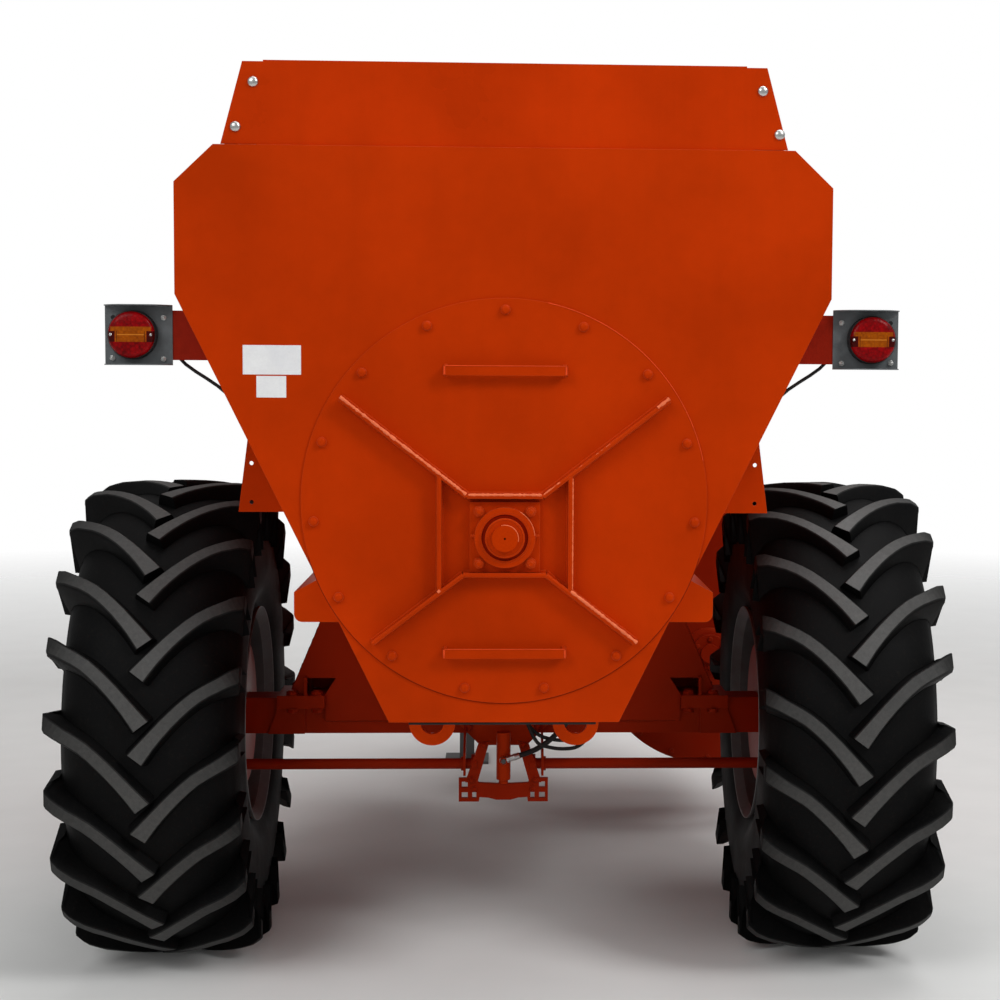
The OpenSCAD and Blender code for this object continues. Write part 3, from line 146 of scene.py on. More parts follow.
# the backdrop is white where the camera sees it and soft grey light elsewhere
AMBIENT = 0.34
world = bpy.data.worlds.new("world")
scene.world = world
world.use_nodes = True
t = world.node_tree
t.nodes.clear()
path = put(t, "ShaderNodeLightPath")
seen = math(t, "ADD", path.outputs["Is Camera Ray"], path.outputs["Is Transmission Ray"], clamp=True)
soft = put(t, "ShaderNodeBackground", {"Color": (1, 1, 1, 1), "Strength": AMBIENT})
white = put(t, "ShaderNodeBackground", {"Color": (1, 1, 1, 1), "Strength": 1.0})
both = put(t, "ShaderNodeMixShader", {0: seen, 1: soft.outputs[0], 2: white.outputs[0]})
put(t, "ShaderNodeOutputWorld", {"Surface": both.outputs[0]})


def area(name, at, to, size, power):
    """a rectangular lamp at a point, facing another"""
    data = bpy.data.lights.new(name, "AREA")
    data.shape = "RECTANGLE"
    data.size, data.size_y = size
    data.energy = power
    o = bpy.data.objects.new(name, data)
    o.location = at
    o.rotation_euler = (Vector(to) - Vector(at)).to_track_quat("-Z", "Y").to_euler()
    scene.collection.objects.link(o)


area("sky_panel", (1.2, -0.8, 8.5), (0, -0.4, 0), (6.5, 6.5), 360)
area("key_right", (6.5, -8.0, 8.0), (0, -1.2, 1.5), (3.2, 3.2), 345)
area("fill_rear", (-4.8, -9.0, 7.0), (0, -1.5, 1.9), (5, 4), 205)


def new_material(name):
    m = bpy.data.materials.new(name)
    m.use_nodes = True
    m.node_tree.nodes.clear()
    return m, m.node_tree


# a round floor that fades into the backdrop between two distances from the middle
FLOOR_R, FLOOR_SIDES = 30, 96
FADE_FROM, FADE_TO = 5.0, 14.0
floor_mat, t = new_material("floor")
geo = put(t, "ShaderNodeNewGeometry")
far = put(t, "ShaderNodeVectorMath", {0: geo.outputs["Position"]}, operation="LENGTH").outputs["Value"]
fade = ramp(t, far, FADE_FROM, FADE_TO)
grain = noise(t, geo.outputs["Position"], 3.0, 6.0)
tone = mix(t, ramp(t, grain, 0.3, 0.7), (0.79, 0.79, 0.78), (0.82, 0.82, 0.81))
diffuse = put(t, "ShaderNodeBsdfDiffuse", {"Color": tone, "Roughness": 1.0})
clear = put(t, "ShaderNodeBsdfTransparent")
out = put(t, "ShaderNodeMixShader", {0: fade, 1: diffuse.outputs[0], 2: clear.outputs[0]})
put(t, "ShaderNodeOutputMaterial", {"Surface": out.outputs[0]})
floor_mesh = bpy.data.meshes.new("floor")
turns = [2 * pi * i / FLOOR_SIDES for i in range(FLOOR_SIDES)]
floor_mesh.from_pydata([(FLOOR_R * cos(a), FLOOR_R * sin(a), 0) for a in turns], [], [list(range(FLOOR_SIDES))])
floor = bpy.data.objects.new("floor", floor_mesh)
floor_mesh.materials.append(floor_mat)
scene.collection.objects.link(floor)


# ---------------------------------------------------------------- materials
def surface(name, color, rough=0.4, metal=0.0, dark=0.85, light=1.12, scale=2.2, grain=180.0, bump=0.03,
            edge=0.0, edge_color=None, round_edge=0.002, spec=0.5, tint=(1, 1, 1), dust=0.0,
            dust_color=(0.30, 0.24, 0.19), dust_top=1.0, rough_var=0.12, streak=0.0, wave=0.0, zone=None, spot=None):
    """a paint or metal in two tones, dark and light, in patches; fine grain with a bump; rounded edges; and, by their
    strengths, worn edges (in a paint whose edge_color is a lighter tone of it, partly painted edge highlights), runs
    (streak), a wavy sheet, and dust below a height (dust_top) and on faces that look up"""
    m, t = new_material(name)
    tex = put(t, "ShaderNodeTexCoord").outputs["Object"]

    def shades(c, k):
        return tuple(min(1, x * k) for x in c)

    big = noise(t, tex, scale, 5.0, 0.6)
    fine = noise(t, tex, grain, 3.0)
    col = mix(t, ramp(t, big, 0.32, 0.68), shades(color, dark), shades(color, light))
    col = mix(t, ramp(t, fine, 0.35, 0.75, 0.0, 0.10), col, shades(color, 0.6))
    if streak:
        stretch = put(t, "ShaderNodeMapping", {"Vector": tex, "Scale": (9.0, 9.0, 0.5)}).outputs[0]
        run = ramp(t, noise(t, stretch, 2.0, 6.0, 0.65), 0.50, 0.80, 0.0, streak)
        col = mix(t, run, col, shades(color, 0.62))
    bevel = put(t, "ShaderNodeBevel", {"Radius": round_edge}, samples=4).outputs[0]
    geo = put(t, "ShaderNodeNewGeometry")
    if edge:
        facing = {0: bevel, 1: geo.outputs["Normal"]}
        same = put(t, "ShaderNodeVectorMath", facing, operation="DOT_PRODUCT").outputs["Value"]
        # edges: bare wear in the metals; in the paints, a lighter tone that is partly wear and partly a painted edge
        # highlight
        worn = times(t, ramp(t, same, 0.995, 0.90), ramp(t, big, 0.30, 0.60, 0.35, 1.0), edge)
        col = mix(t, worn, col, edge_color)
    if zone:
        # past a plane across the axis with this number, from start to full, the surface is painted another colour
        axis, start, full, other = zone
        past = ramp(t, parts(t, tex)[axis], start, full)
        col = mix(t, past, col, mix(t, ramp(t, big, 0.32, 0.68), shades(other, 0.88), shades(other, 1.1)))
        metal = ramp(t, past, 0.0, 1.0, metal, 0.0)
        spec = ramp(t, past, 0.0, 1.0, spec, 0.10)
    if spot:
        # a small round mark about a line along Y through this X and Z, with this radius
        mark_x, mark_z, radius, other = spot
        x, _, z = parts(t, tex)
        x, z = math(t, "SUBTRACT", x, mark_x), math(t, "SUBTRACT", z, mark_z)
        away = math(t, "SQRT", math(t, "ADD", times(t, x, x), times(t, z, z)))
        col = mix(t, ramp(t, away, radius * 0.8, radius * 1.1, 1.0, 0.0), col, other)
    r = ramp(t, big, 0.3, 0.7, rough - rough_var / 2, rough + rough_var / 2)
    if dust:
        patch = noise(t, tex, 7.0, 8.0, 0.7)
        low = times(t, ramp(t, parts(t, tex)[2], dust_top, dust_top - 0.9), ramp(t, patch, 0.36, 0.72))
        upward = ramp(t, parts(t, geo.outputs["Normal"])[2], 0.55, 0.98)
        lying = times(t, upward, ramp(t, patch, 0.42, 0.70, 0.0, 0.7))
        amount = times(t, math(t, "MAXIMUM", low, lying), dust)
        col = mix(t, amount, col, dust_color)
        r = math(t, "ADD", r, times(t, amount, 0.45), clamp=True)
    relief = math(t, "ADD", fine, times(t, big, wave)) if wave else fine
    height = {"Strength": 0.6, "Distance": bump * 0.001 / 0.03, "Height": relief, "Normal": bevel}
    paint(t, col, r, height, {"Metallic": metal, "Specular IOR Level": spec, "Specular Tint": (*tint, 1)})
    return m


# the main paint, the tint of its shine, the dust on it, and worn steel
ORANGE, GLINT = (0.55, 0.0365, 0.0008), (1.0, 0.20, 0.07)
RED_DUST, BARE = (0.34, 0.12, 0.05), (0.42, 0.40, 0.38)
# the lamp arms are part of the guards' nodes: galvanised behind this plane, painted ahead of it
GUARD_PAINT_Y = AXLE_Y - 0.9274, AXLE_Y - 0.9272
# the shaft's last stretch is painted too, and a dark spot in its end is painted shade for the hole of its turning
# centre
SHAFT_PAINT_Y = AXLE_Y - 1.052, AXLE_Y - 1.058
M = {
    "orange": surface("orange_paint", ORANGE, rough=0.34, spec=0.32, tint=GLINT, edge=0.55,
                      edge_color=(0.80, 0.13, 0.04), dust=0.08, dust_color=RED_DUST, dust_top=1.1, streak=0.10,
                      bump=0.012, grain=420, wave=1.6),
    "board": surface("board_paint", (0.58, 0.036, 0.0010), rough=0.30, spec=0.32, tint=GLINT, edge=0.5,
                     edge_color=(0.82, 0.15, 0.05), dust=0.06, dust_color=RED_DUST, streak=0.14, bump=0.012,
                     grain=420, wave=2.5),
    # a light pink-orange paint for painted highlights on beads and edges
    "painted_highlight": surface("painted_highlight_paint", (1.0, 0.20, 0.080), rough=0.26, spec=0.4, tint=(1.0, 0.42, 0.30), scale=26,
                     bump=0.008, grain=420, rough_var=0.06),
    # a lighter orange for fainter painted highlights
    "thin": surface("thin_paint", (0.85, 0.085, 0.020), rough=0.34, spec=0.3, tint=GLINT, scale=26, bump=0.008,
                    grain=420),
    # a lighter copy of the main paint: painted light for the parts that stand in fuller light
    "lit": surface("lit_orange_paint", (0.68, 0.050, 0.0012), rough=0.32, spec=0.32, tint=GLINT, edge=0.55,
                   edge_color=(0.9, 0.2, 0.06), dust=0.06, dust_color=RED_DUST, dust_top=1.1, bump=0.012, grain=420,
                   wave=1.6),
    # the main paint darkened part way: painted shade for the brake ram under the body
    "link": surface("half_shade_paint", (0.44, 0.026, 0.0018), rough=0.40, spec=0.30, tint=GLINT, edge=0.5,
                    edge_color=(0.60, 0.08, 0.02), dust=0.10, dust_color=(0.2, 0.08, 0.04), bump=0.02, grain=300),
    # the main paint darkened far: painted shade for grooves and seams
    "shade": surface("painted_shade_paint", (0.25, 0.0095, 0.001), rough=0.5, spec=0.1, tint=GLINT, bump=0.02, grain=300),
    # the main paint darkened: painted shade from under the body, for the axle, brakes, rotor, drawbar and the other
    # parts of this look
    "chassis": surface("chassis_paint", (0.30, 0.013, 0.0016), rough=0.42, spec=0.30, tint=GLINT, edge=0.5,
                       edge_color=(0.48, 0.05, 0.015), dust=0.16, dust_color=(0.16, 0.07, 0.04), bump=0.02,
                       grain=300),
    "auger": surface("auger_steel", (0.40, 0.045, 0.010), rough=0.5, spec=0.25, edge=0.9, edge_color=BARE, dust=0.6,
                     dust_color=(0.20, 0.15, 0.11), dust_top=2.4, bump=0.03, round_edge=0.004),
    "galvanised": surface("galvanised", (0.142, 0.156, 0.163), rough=0.45, metal=0.35, dark=0.8, light=1.2, scale=28,
                          edge=0.3, edge_color=(0.42, 0.43, 0.42), bump=0.02, round_edge=0.0012,
                          zone=(1, *GUARD_PAINT_Y, (0.32, 0.0125, 0.0012))),
    "shaft": surface("auger_shaft", (0.40, 0.045, 0.010), rough=0.45, spec=0.3, tint=GLINT, edge=0.2, edge_color=BARE,
                     bump=0.02, zone=(1, *SHAFT_PAINT_Y, ORANGE), spot=(0.0, AUGER_Z, 0.0034, (0.05, 0.003, 0.001))),
    "zinc": surface("zinc", (0.66, 0.66, 0.64), rough=0.26, metal=1.0, edge=0.2, edge_color=(0.8, 0.8, 0.8),
                    bump=0.01, round_edge=0.0012, scale=20),
    "steel": surface("bright_steel", (0.52, 0.52, 0.52), rough=0.30, metal=1.0, dark=0.75, scale=9, edge=0.3,
                     edge_color=(0.7, 0.7, 0.7), bump=0.02, round_edge=0.0015),
    # dark grey under heavy dark dust: partly the rims' own colour and dust, partly painted shade from the wheel wells
    "rim": surface("rim_paint", (0.135, 0.134, 0.136), rough=0.42, metal=0.3, dust=0.5,
                   dust_color=(0.070, 0.052, 0.042), dust_top=2.2, edge=0.5, edge_color=(0.7, 0.7, 0.7), bump=0.02,
                   round_edge=0.003),
    "jack": surface("jack_steel", (0.10, 0.10, 0.105), rough=0.5, metal=0.4, edge=0.3, edge_color=(0.3, 0.3, 0.3),
                    bump=0.02, dust=0.4, dust_color=(0.16, 0.13, 0.10)),
    "iron": surface("cast_iron", (0.045, 0.046, 0.05), rough=0.55, bump=0.06, grain=260, edge=0.5,
                    edge_color=(0.14, 0.14, 0.15), dust=0.3, dust_top=1.6, round_edge=0.004),
    "cable": surface("cable_rubber", (0.0075, 0.0075, 0.008), rough=0.5, spec=0.25, bump=0.02, dust=0.06,
                     dust_top=2.4, round_edge=0.0005),
    "black": surface("black_plastic", (0.011, 0.011, 0.012), rough=0.4, spec=0.35, dust=0.05, dust_top=2.4,
                     round_edge=0.001),
    "yellow": surface("guard_plastic", (0.66, 0.42, 0.02), rough=0.5, bump=0.04, dust=0.3, dust_top=1.4),
    "vinyl": surface("white_vinyl", (0.96, 0.97, 1.0), rough=0.38, dark=0.93, light=1.03, scale=12, bump=0.01,
                     round_edge=0.0004, dust=0.12, dust_top=2.6),
}


def rubber_material():
    """black rubber, scuffed grey where the mesh's "top" value marks the lugs' worn tops"""
    m, t = new_material("tyre_rubber")
    tex = put(t, "ShaderNodeTexCoord").outputs["Object"]
    top = put(t, "ShaderNodeAttribute", attribute_name="top", attribute_type="GEOMETRY").outputs["Fac"]
    big = noise(t, tex, 5.0, 8.0, 0.65)
    fine = noise(t, tex, 90.0, 6.0, 0.7)
    base = mix(t, ramp(t, big, 0.35, 0.70), (0.0022, 0.0023, 0.0026), (0.0050, 0.0048, 0.0048))
    soil = mix(t, ramp(t, fine, 0.55, 0.80, 0.0, 0.35), base, (0.030, 0.024, 0.018))
    scuff = mix(t, ramp(t, fine, 0.30, 0.70), (0.028, 0.028, 0.0265), (0.062, 0.061, 0.057))
    col = mix(t, times(t, top, ramp(t, big, 0.25, 0.55, 0.70, 1.0)), soil, scuff)
    bevel = put(t, "ShaderNodeBevel", {"Radius": 0.003}, samples=4).outputs[0]
    height = {"Strength": 0.7, "Distance": 0.0012, "Height": fine, "Normal": bevel}
    shine = ramp(t, top, 0.0, 1.0, 0.09, 0.85)
    paint(t, col, ramp(t, big, 0.3, 0.7, 0.50, 0.70), height, {"Specular IOR Level": shine})
    return m


# a lamp's centre, and its lens's radius
LAMP_X, LAMP_Z, LENS_R = 1.065, 2.067, 0.0665


def lens_material():
    """red glass with an amber band across it, which has a wider upper part, and dark pockets for the two screws;
    u and v are the distances sideways and up from the lamp's centre, and the shares below are of the lens's radius"""
    m, t = new_material("lamp_lens")
    tex = put(t, "ShaderNodeTexCoord").outputs["Object"]
    x, _, z = parts(t, tex)
    u = math(t, "ABSOLUTE", math(t, "SUBTRACT", math(t, "ABSOLUTE", x), LAMP_X))
    v = math(t, "SUBTRACT", z, LAMP_Z)
    blur = 0.0006
    band_top, band_foot, pocket_top = 0.34, -0.31, 0.15

    def beyond(x, share):
        return ramp(t, x, share * LENS_R - blur, share * LENS_R + blur)

    def within(x, share):
        return ramp(t, x, share * LENS_R - blur, share * LENS_R + blur, 1.0, 0.0)

    high = times(t, beyond(v, pocket_top), within(u, 0.86))
    band = times(t, beyond(v, band_foot), within(v, band_top), math(t, "MAXIMUM", within(u, 0.67), high))
    slit = times(t, beyond(u, 0.58), within(u, 0.61), within(v, pocket_top), times(t, beyond(v, band_foot), 0.7))
    pocket = times(t, beyond(u, 0.68), within(v, pocket_top), beyond(v, band_foot))
    line = times(t, beyond(v, -0.02), within(v, 0.02), within(u, 0.57))
    cells = put(t, "ShaderNodeTexVoronoi", {"Vector": tex, "Scale": 120.0}, distance="CHEBYCHEV").outputs["Distance"]
    patch = noise(t, tex, 40.0, 4.0)
    shade = math(t, "ADD", ramp(t, cells, 0.05, 0.7, 0.0, 0.5), ramp(t, patch, 0.35, 0.75, 0.0, 0.5), clamp=True)
    red = mix(t, shade, (0.40, 0.0016, 0.004), (0.07, 0.0005, 0.001))
    amber = mix(t, shade, (0.46, 0.100, 0.0008), (0.20, 0.034, 0.0004))
    col = mix(t, band, red, amber)
    col = mix(t, line, col, (0.62, 0.20, 0.02))
    col = mix(t, math(t, "MAXIMUM", slit, times(t, pocket, 0.85)), col, (0.02, 0.003, 0.002))
    height = {"Strength": 0.5, "Distance": 0.0010, "Height": cells}
    paint(t, col, ramp(t, patch, 0.3, 0.7, 0.20, 0.32), height, {"Specular IOR Level": 0.10})
    return m


M["rubber"] = rubber_material()
M["lens"] = lens_material()

# the CAD nodes of each look, by how their names start; the longest start that fits counts, and the rest is orange
LOOK = {"board": ["extension_"], "lit": ["rear_lugs", "stringer", "wing_plates_right"], "link": ["brake_ram"],
        "chassis": ["axle", "brake_", "rail_", "front_bolster", "drawbar_", "jack_tube", "rotor", "door_guides",
                    "ladder", "hub_"],
        "auger": ["auger_"], "shaft": ["auger_tube"], "steel": ["pto_shaft"], "jack": ["jack_leg"],
        "iron": ["front_bearing", "door_ram_barrel", "gearbox"], "galvanised": ["lamp_guard_"],
        "lens": ["lamp_l", "lamp_r"], "rim": ["rim_"], "rubber": ["tyre_"], "cable": ["lamp_cable_", "brake_hose"],
        "yellow": ["pto_guard"]}
starts = {start: look for look, group in LOOK.items() for start in group}
for name, o in nodes.items():
    best = max((k for k in starts if name.startswith(k)), key=len, default=None)
    o.data.materials.clear()
    o.data.materials.append(M[starts[best] if best else "orange"])


# ---------------------------------------------------------------- mesh building
def to(at, axis):
    """places local Z along axis at a point"""
    z = Vector(axis).normalized()
    x = Vector((1, 0, 0)) if abs(z.x) < 0.9 else Vector((0, 1, 0))
    x = (x - z * x.dot(z)).normalized()
    y = z.cross(x)
    return Matrix.Translation(at) @ Matrix((x, y, z)).transposed().to_4x4()


# bolt heads: width across flats, height
M6, M8, M10, M16, M20 = (0.012, 0.005), (0.013, 0.006), (0.017, 0.008), (0.023, 0.010), (0.030, 0.014)


class Build:
    """gathers many small forms and makes one object of them"""

    def __init__(self):
        self.v, self.f, self.tag = [], [], []

    def add(self, verts, faces, at=Matrix.Identity(4), tag=0.0):
        """tag is a value for all the faces or a list with one for each"""
        n = len(self.v)
        self.v += [at @ Vector(p) for p in verts]
        self.f += [[n + i for i in f] for f in faces]
        self.tag += tag if isinstance(tag, list) else [tag] * len(faces)

    def lathe(self, profile, at, n=24):
        """turns (radius, height) points about local Z; radius 0 closes an end"""
        verts, rings, faces = [], [], []
        for r, z in profile:
            if r == 0:
                rings.append([len(verts)])
                verts.append((0, 0, z))
            else:
                rings.append(list(range(len(verts), len(verts) + n)))
                verts += [(r * cos(2 * pi * i / n), r * sin(2 * pi * i / n), z) for i in range(n)]
        for a, b in zip(rings, rings[1:]):
            for i in range(n):
                j = (i + 1) % n
                f = [a[i % len(a)], a[j % len(a)], b[j % len(b)], b[i % len(b)]]
                f = [k for m, k in enumerate(f) if k not in f[:m]]
                if len(f) > 2:
                    faces.append(f)
        self.add(verts, faces, at)

    def prism(self, outline, z0, z1, at, chamfer=0.0):
        """an outline (anticlockwise) from z0 to z1, its top edge chamfered towards the outline's middle"""
        n = len(outline)
        cx = sum(p[0] for p in outline) / n
        cy = sum(p[1] for p in outline) / n
        verts = [(x, y, z0) for x, y in outline]
        levels = [(z1, 0.0)] if not chamfer else [(z1 - chamfer, 0.0), (z1, chamfer)]
        for z, d in levels:
            for x, y in outline:
                k = hypot(x - cx, y - cy)
                s = 1 - d / k if k else 1
                verts.append((cx + (x - cx) * s, cy + (y - cy) * s, z))
        faces = [list(range(n))[::-1]]
        for L in range(len(levels)):
            for i in range(n):
                j = (i + 1) % n
                faces.append([L * n + i, L * n + j, (L + 1) * n + j, (L + 1) * n + i])
        faces.append([len(levels) * n + i for i in range(n)])
        self.add(verts, faces, at)

    def box(self, a, b, c):
        """a box between two corners, its edges chamfered by c"""
        a, b = [min(p, q) for p, q in zip(a, b)], [max(p, q) for p, q in zip(a, b)]
        c = min(c, *[(q - p) / 2.2 for p, q in zip(a, b)])
        x0, y0, z0 = a
        x1, y1, z1 = b
        small = [(x0 + c, y0 + c), (x1 - c, y0 + c), (x1 - c, y1 - c), (x0 + c, y1 - c)]
        ring = [(x0 + c, y0), (x1 - c, y0), (x1, y0 + c), (x1, y1 - c), (x1 - c, y1), (x0 + c, y1), (x0, y1 - c),
                (x0, y0 + c)]
        verts = [(x, y, z0) for x, y in small] + [(x, y, z0 + c) for x, y in ring]
        verts += [(x, y, z1 - c) for x, y in ring] + [(x, y, z1) for x, y in small]
        faces = [[3, 2, 1, 0], [20, 21, 22, 23]]
        for k in range(4):
            a0, a1 = 4 + 2 * k, 4 + (2 * k + 1) % 8
            prev = 4 + (2 * k + 7) % 8
            nxt = (k + 1) % 4
            faces += [[k, nxt, a1, a0], [prev, k, a0]]
            faces += [[a0, a1, a1 + 8, a0 + 8], [prev, a0, a0 + 8, prev + 8]]
            faces += [[a0 + 8, a1 + 8, 20 + nxt, 20 + k], [prev + 8, a0 + 8, 20 + k]]
        self.add(verts, faces)

    def tube(self, path, r, n=10, vary=0.0):
        """a round tube along a path; vary makes its radius uneven, as a weld's"""
        path = [Vector(p) for p in path]
        verts, faces = [], []
        ref = None
        for i, p in enumerate(path):
            d = (path[min(i + 1, len(path) - 1)] - path[max(i - 1, 0)]).normalized()
            if ref is None:
                ref = Vector((0, 0, 1)) if abs(d.z) < 0.9 else Vector((1, 0, 0))
            ref = (ref - d * ref.dot(d)).normalized()
            y = d.cross(ref)
            k = r * (1 + vary * (rng.random() - 0.5) * 2)
            verts += [p + (ref * cos(2 * pi * j / n) + y * sin(2 * pi * j / n)) * k for j in range(n)]
        for i in range(len(path) - 1):
            for j in range(n):
                a, b = i * n + j, i * n + (j + 1) % n
                faces.append([a, b, b + n, a + n])
        faces += [list(range(n))[::-1], [len(verts) - n + j for j in range(n)]]
        self.add(verts, faces)

    def arc(self, cx, y, cz, r, a0, a1, thick):
        """a thin round bead along a circle across Y, from one angle in degrees to another"""
        n = max(6, int(abs(a1 - a0) / 2.5))
        turns = [radians(a0 + (a1 - a0) * i / n) for i in range(n + 1)]
        self.tube([P(cx + r * cos(a), y, cz + r * sin(a)) for a in turns], thick, 8)

    def weld(self, a, b, r=0.004):
        """an uneven bead from a to b"""
        n = max(2, int((b - a).length / 0.006))
        self.tube([a.lerp(b, i / n) for i in range(n + 1)], r, 6, vary=0.16)

    def hexbolt(self, at, axis, s, h, washer=True, end=0.0):
        """a hexagon head of width s across flats and height h on its washer; end adds a thread's tip beyond a nut"""
        m = to(at, axis)
        base = 0.0022 if washer else 0.0
        if washer:
            self.lathe([(s * 0.42, 0), (s * 0.66, 0), (s * 0.66, base), (s * 0.42, base)], m, 20)
        R = s / sqrt(3)
        hexa = [(R * cos(radians(60 * i + 15)), R * sin(radians(60 * i + 15))) for i in range(6)]
        self.prism(hexa, base, base + h, m, chamfer=h * 0.14)
        if end:
            r, top, tip = s * 0.32, base + h, base + h + end
            self.lathe([(r, top), (r, tip - 0.001), (r - 0.001, tip), (0, tip)], m, 14)

    def dome(self, at, axis, r, h):
        """a round head on a 2 mm foot"""
        bows = (0, 0.35, 0.7, 1.05, 1.35, pi / 2)
        prof = [(r, 0)] + [(r * cos(a) if a < 1.5 else 0, 0.002 + h * sin(a)) for a in bows]
        self.lathe(prof, to(at, axis), 20)

    def make(self, name, body, look, angle=35, tag=None):
        """the object, which rides on a body; edges sharper than angle stay sharp, and tag names the faces' values"""
        mesh = bpy.data.meshes.new(name)
        mesh.from_pydata([tuple(p) for p in self.v], [], self.f)
        mesh.validate()
        mesh.shade_smooth()
        mesh.set_sharp_from_angle(angle=radians(angle))
        if tag:
            mesh.attributes.new(tag, "FLOAT", "FACE").data.foreach_set("value", self.tag)
        mesh.materials.append(M[look])
        o = bpy.data.objects.new(name, mesh)
        scene.collection.objects.link(o)
        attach(o, body)
        return o


def circle(n, r, shift=0.0):
    """n places round a circle, the first moved on by this share of a step"""
    turns = [2 * pi * (i + shift) / n for i in range(n)]
    return [(r * cos(a), r * sin(a)) for a in turns]


def blend(p0, p1, p2, p3, f):
    """a smooth curve's number or vector at share f of the way from p1 to p2"""
    return 0.5 * (2 * p1 + (p2 - p0) * f + (2 * p0 - 5 * p1 + 4 * p2 - p3) * f * f
                  + (3 * p1 - p0 - 3 * p2 + p3) * f ** 3)


# ---------------------------------------------------------------- tyres
TYRE_W, TYRE_R, LUG_H, BEAD_R, RIM_HALF = 0.587, 0.800, 0.038, 0.345, 0.225
CARCASS_R = TYRE_R - LUG_H
# the carcass's section is a superellipse of this power, open between the beads
POWER, BEAD_A = 2.8, radians(48)
SECTION_P = 2 / POWER
HALF_H = (CARCASS_R - BEAD_R) / (1 + sin(BEAD_A) ** SECTION_P)
MID_R = CARCASS_R - HALF_H
# half widths over the lugs and over the carcass
HW = TYRE_W / 2
CW = HW - 0.018
SECTION_STEPS, ROUND_STEPS = 60, 120
# moulded rings on the sidewall: radius, half width, height
RINGS = ((0.655, 0.006, -0.004), (0.560, 0.004, -0.003), (0.400, 0.010, -0.006))
# the inside of the carcass: radius, place across
INSIDE = [(BEAD_R + 0.002, -RIM_HALF + 0.024), (0.42, -HW + 0.06), (0.60, -HW + 0.045), (0.70, -HW + 0.10), (0.735, 0),
          (0.70, HW - 0.10), (0.60, HW - 0.045), (0.42, HW - 0.06), (BEAD_R + 0.002, RIM_HALF - 0.024)]
LUGS, LUG_STEPS = 20, 14
# a lug's middle line: place across as a share of the half width, way round in metres, width
LUG_RUN = [(-0.03, -0.136, 0.060), (0.13, -0.078, 0.050), (0.34, -0.010, 0.046), (0.57, 0.051, 0.045),
           (0.81, 0.093, 0.046), (0.93, 0.114, 0.050), (1.03, 0.130, 0.055)]
# how far a lug's top falls away towards the tread's edge: place across as a share, drop
TIPS = [(0.0, 0.0), (0.42, 0.003), (0.72, 0.010), (0.90, 0.024), (1.0, 0.046)]
# a lug's section: its side, the way out beyond half the width, and the depth below the top; None is inside the carcass
LUG_SECTION = ((-1, -0.012, None), (-1, -0.003, 0.013), (-1, 0.0015, 0.003), (-1, 0.005, 0), (1, -0.005, 0),
               (1, -0.0015, 0.003), (1, 0.003, 0.013), (1, 0.012, None))
ACROSS = len(LUG_SECTION)
# the outer end, down the sidewall's edge and back into the wall: place across, drop, how much wider
LUG_END = ((HW, 0.006, 0.0), (HW - 0.001, 0.054, 0.002), (CW * 0.97, 0.105, 0.008))
# how worn a face of the section is, by its number
WORN = {2: 0.25, 3: 1.0, 4: 0.25}
# the direction across a lug at its inner end, and the lugs' gap below the solid's top
FIRST_SIDE, TOP_GAP = (-0.80, 0.60), 0.0005


def along(table, x, col):
    """a column's value at x, straight between the table's rows"""
    for a, b in zip(table, table[1:]):
        if x <= b[0]:
            break
    k = (x - a[0]) / (b[0] - a[0])
    return a[col] + (b[col] - a[col]) * k


def crown(x):
    """the carcass's radius at a place across the tread"""
    return MID_R + HALF_H * max(0.0, 1 - abs(x / CW) ** POWER) ** (1 / POWER)


def smooth_run(n):
    """the lug's middle line, smoothed, as (across, round, width)"""
    rows, last = [], len(LUG_RUN) - 1
    for i in range(n + 1):
        u = i / n * last
        k = min(int(u), last - 1)
        near = [LUG_RUN[j] for j in (max(k - 1, 0), k, k + 1, min(k + 2, last))]
        rows.append([blend(*column, u - k) for column in zip(*near)])
    return rows


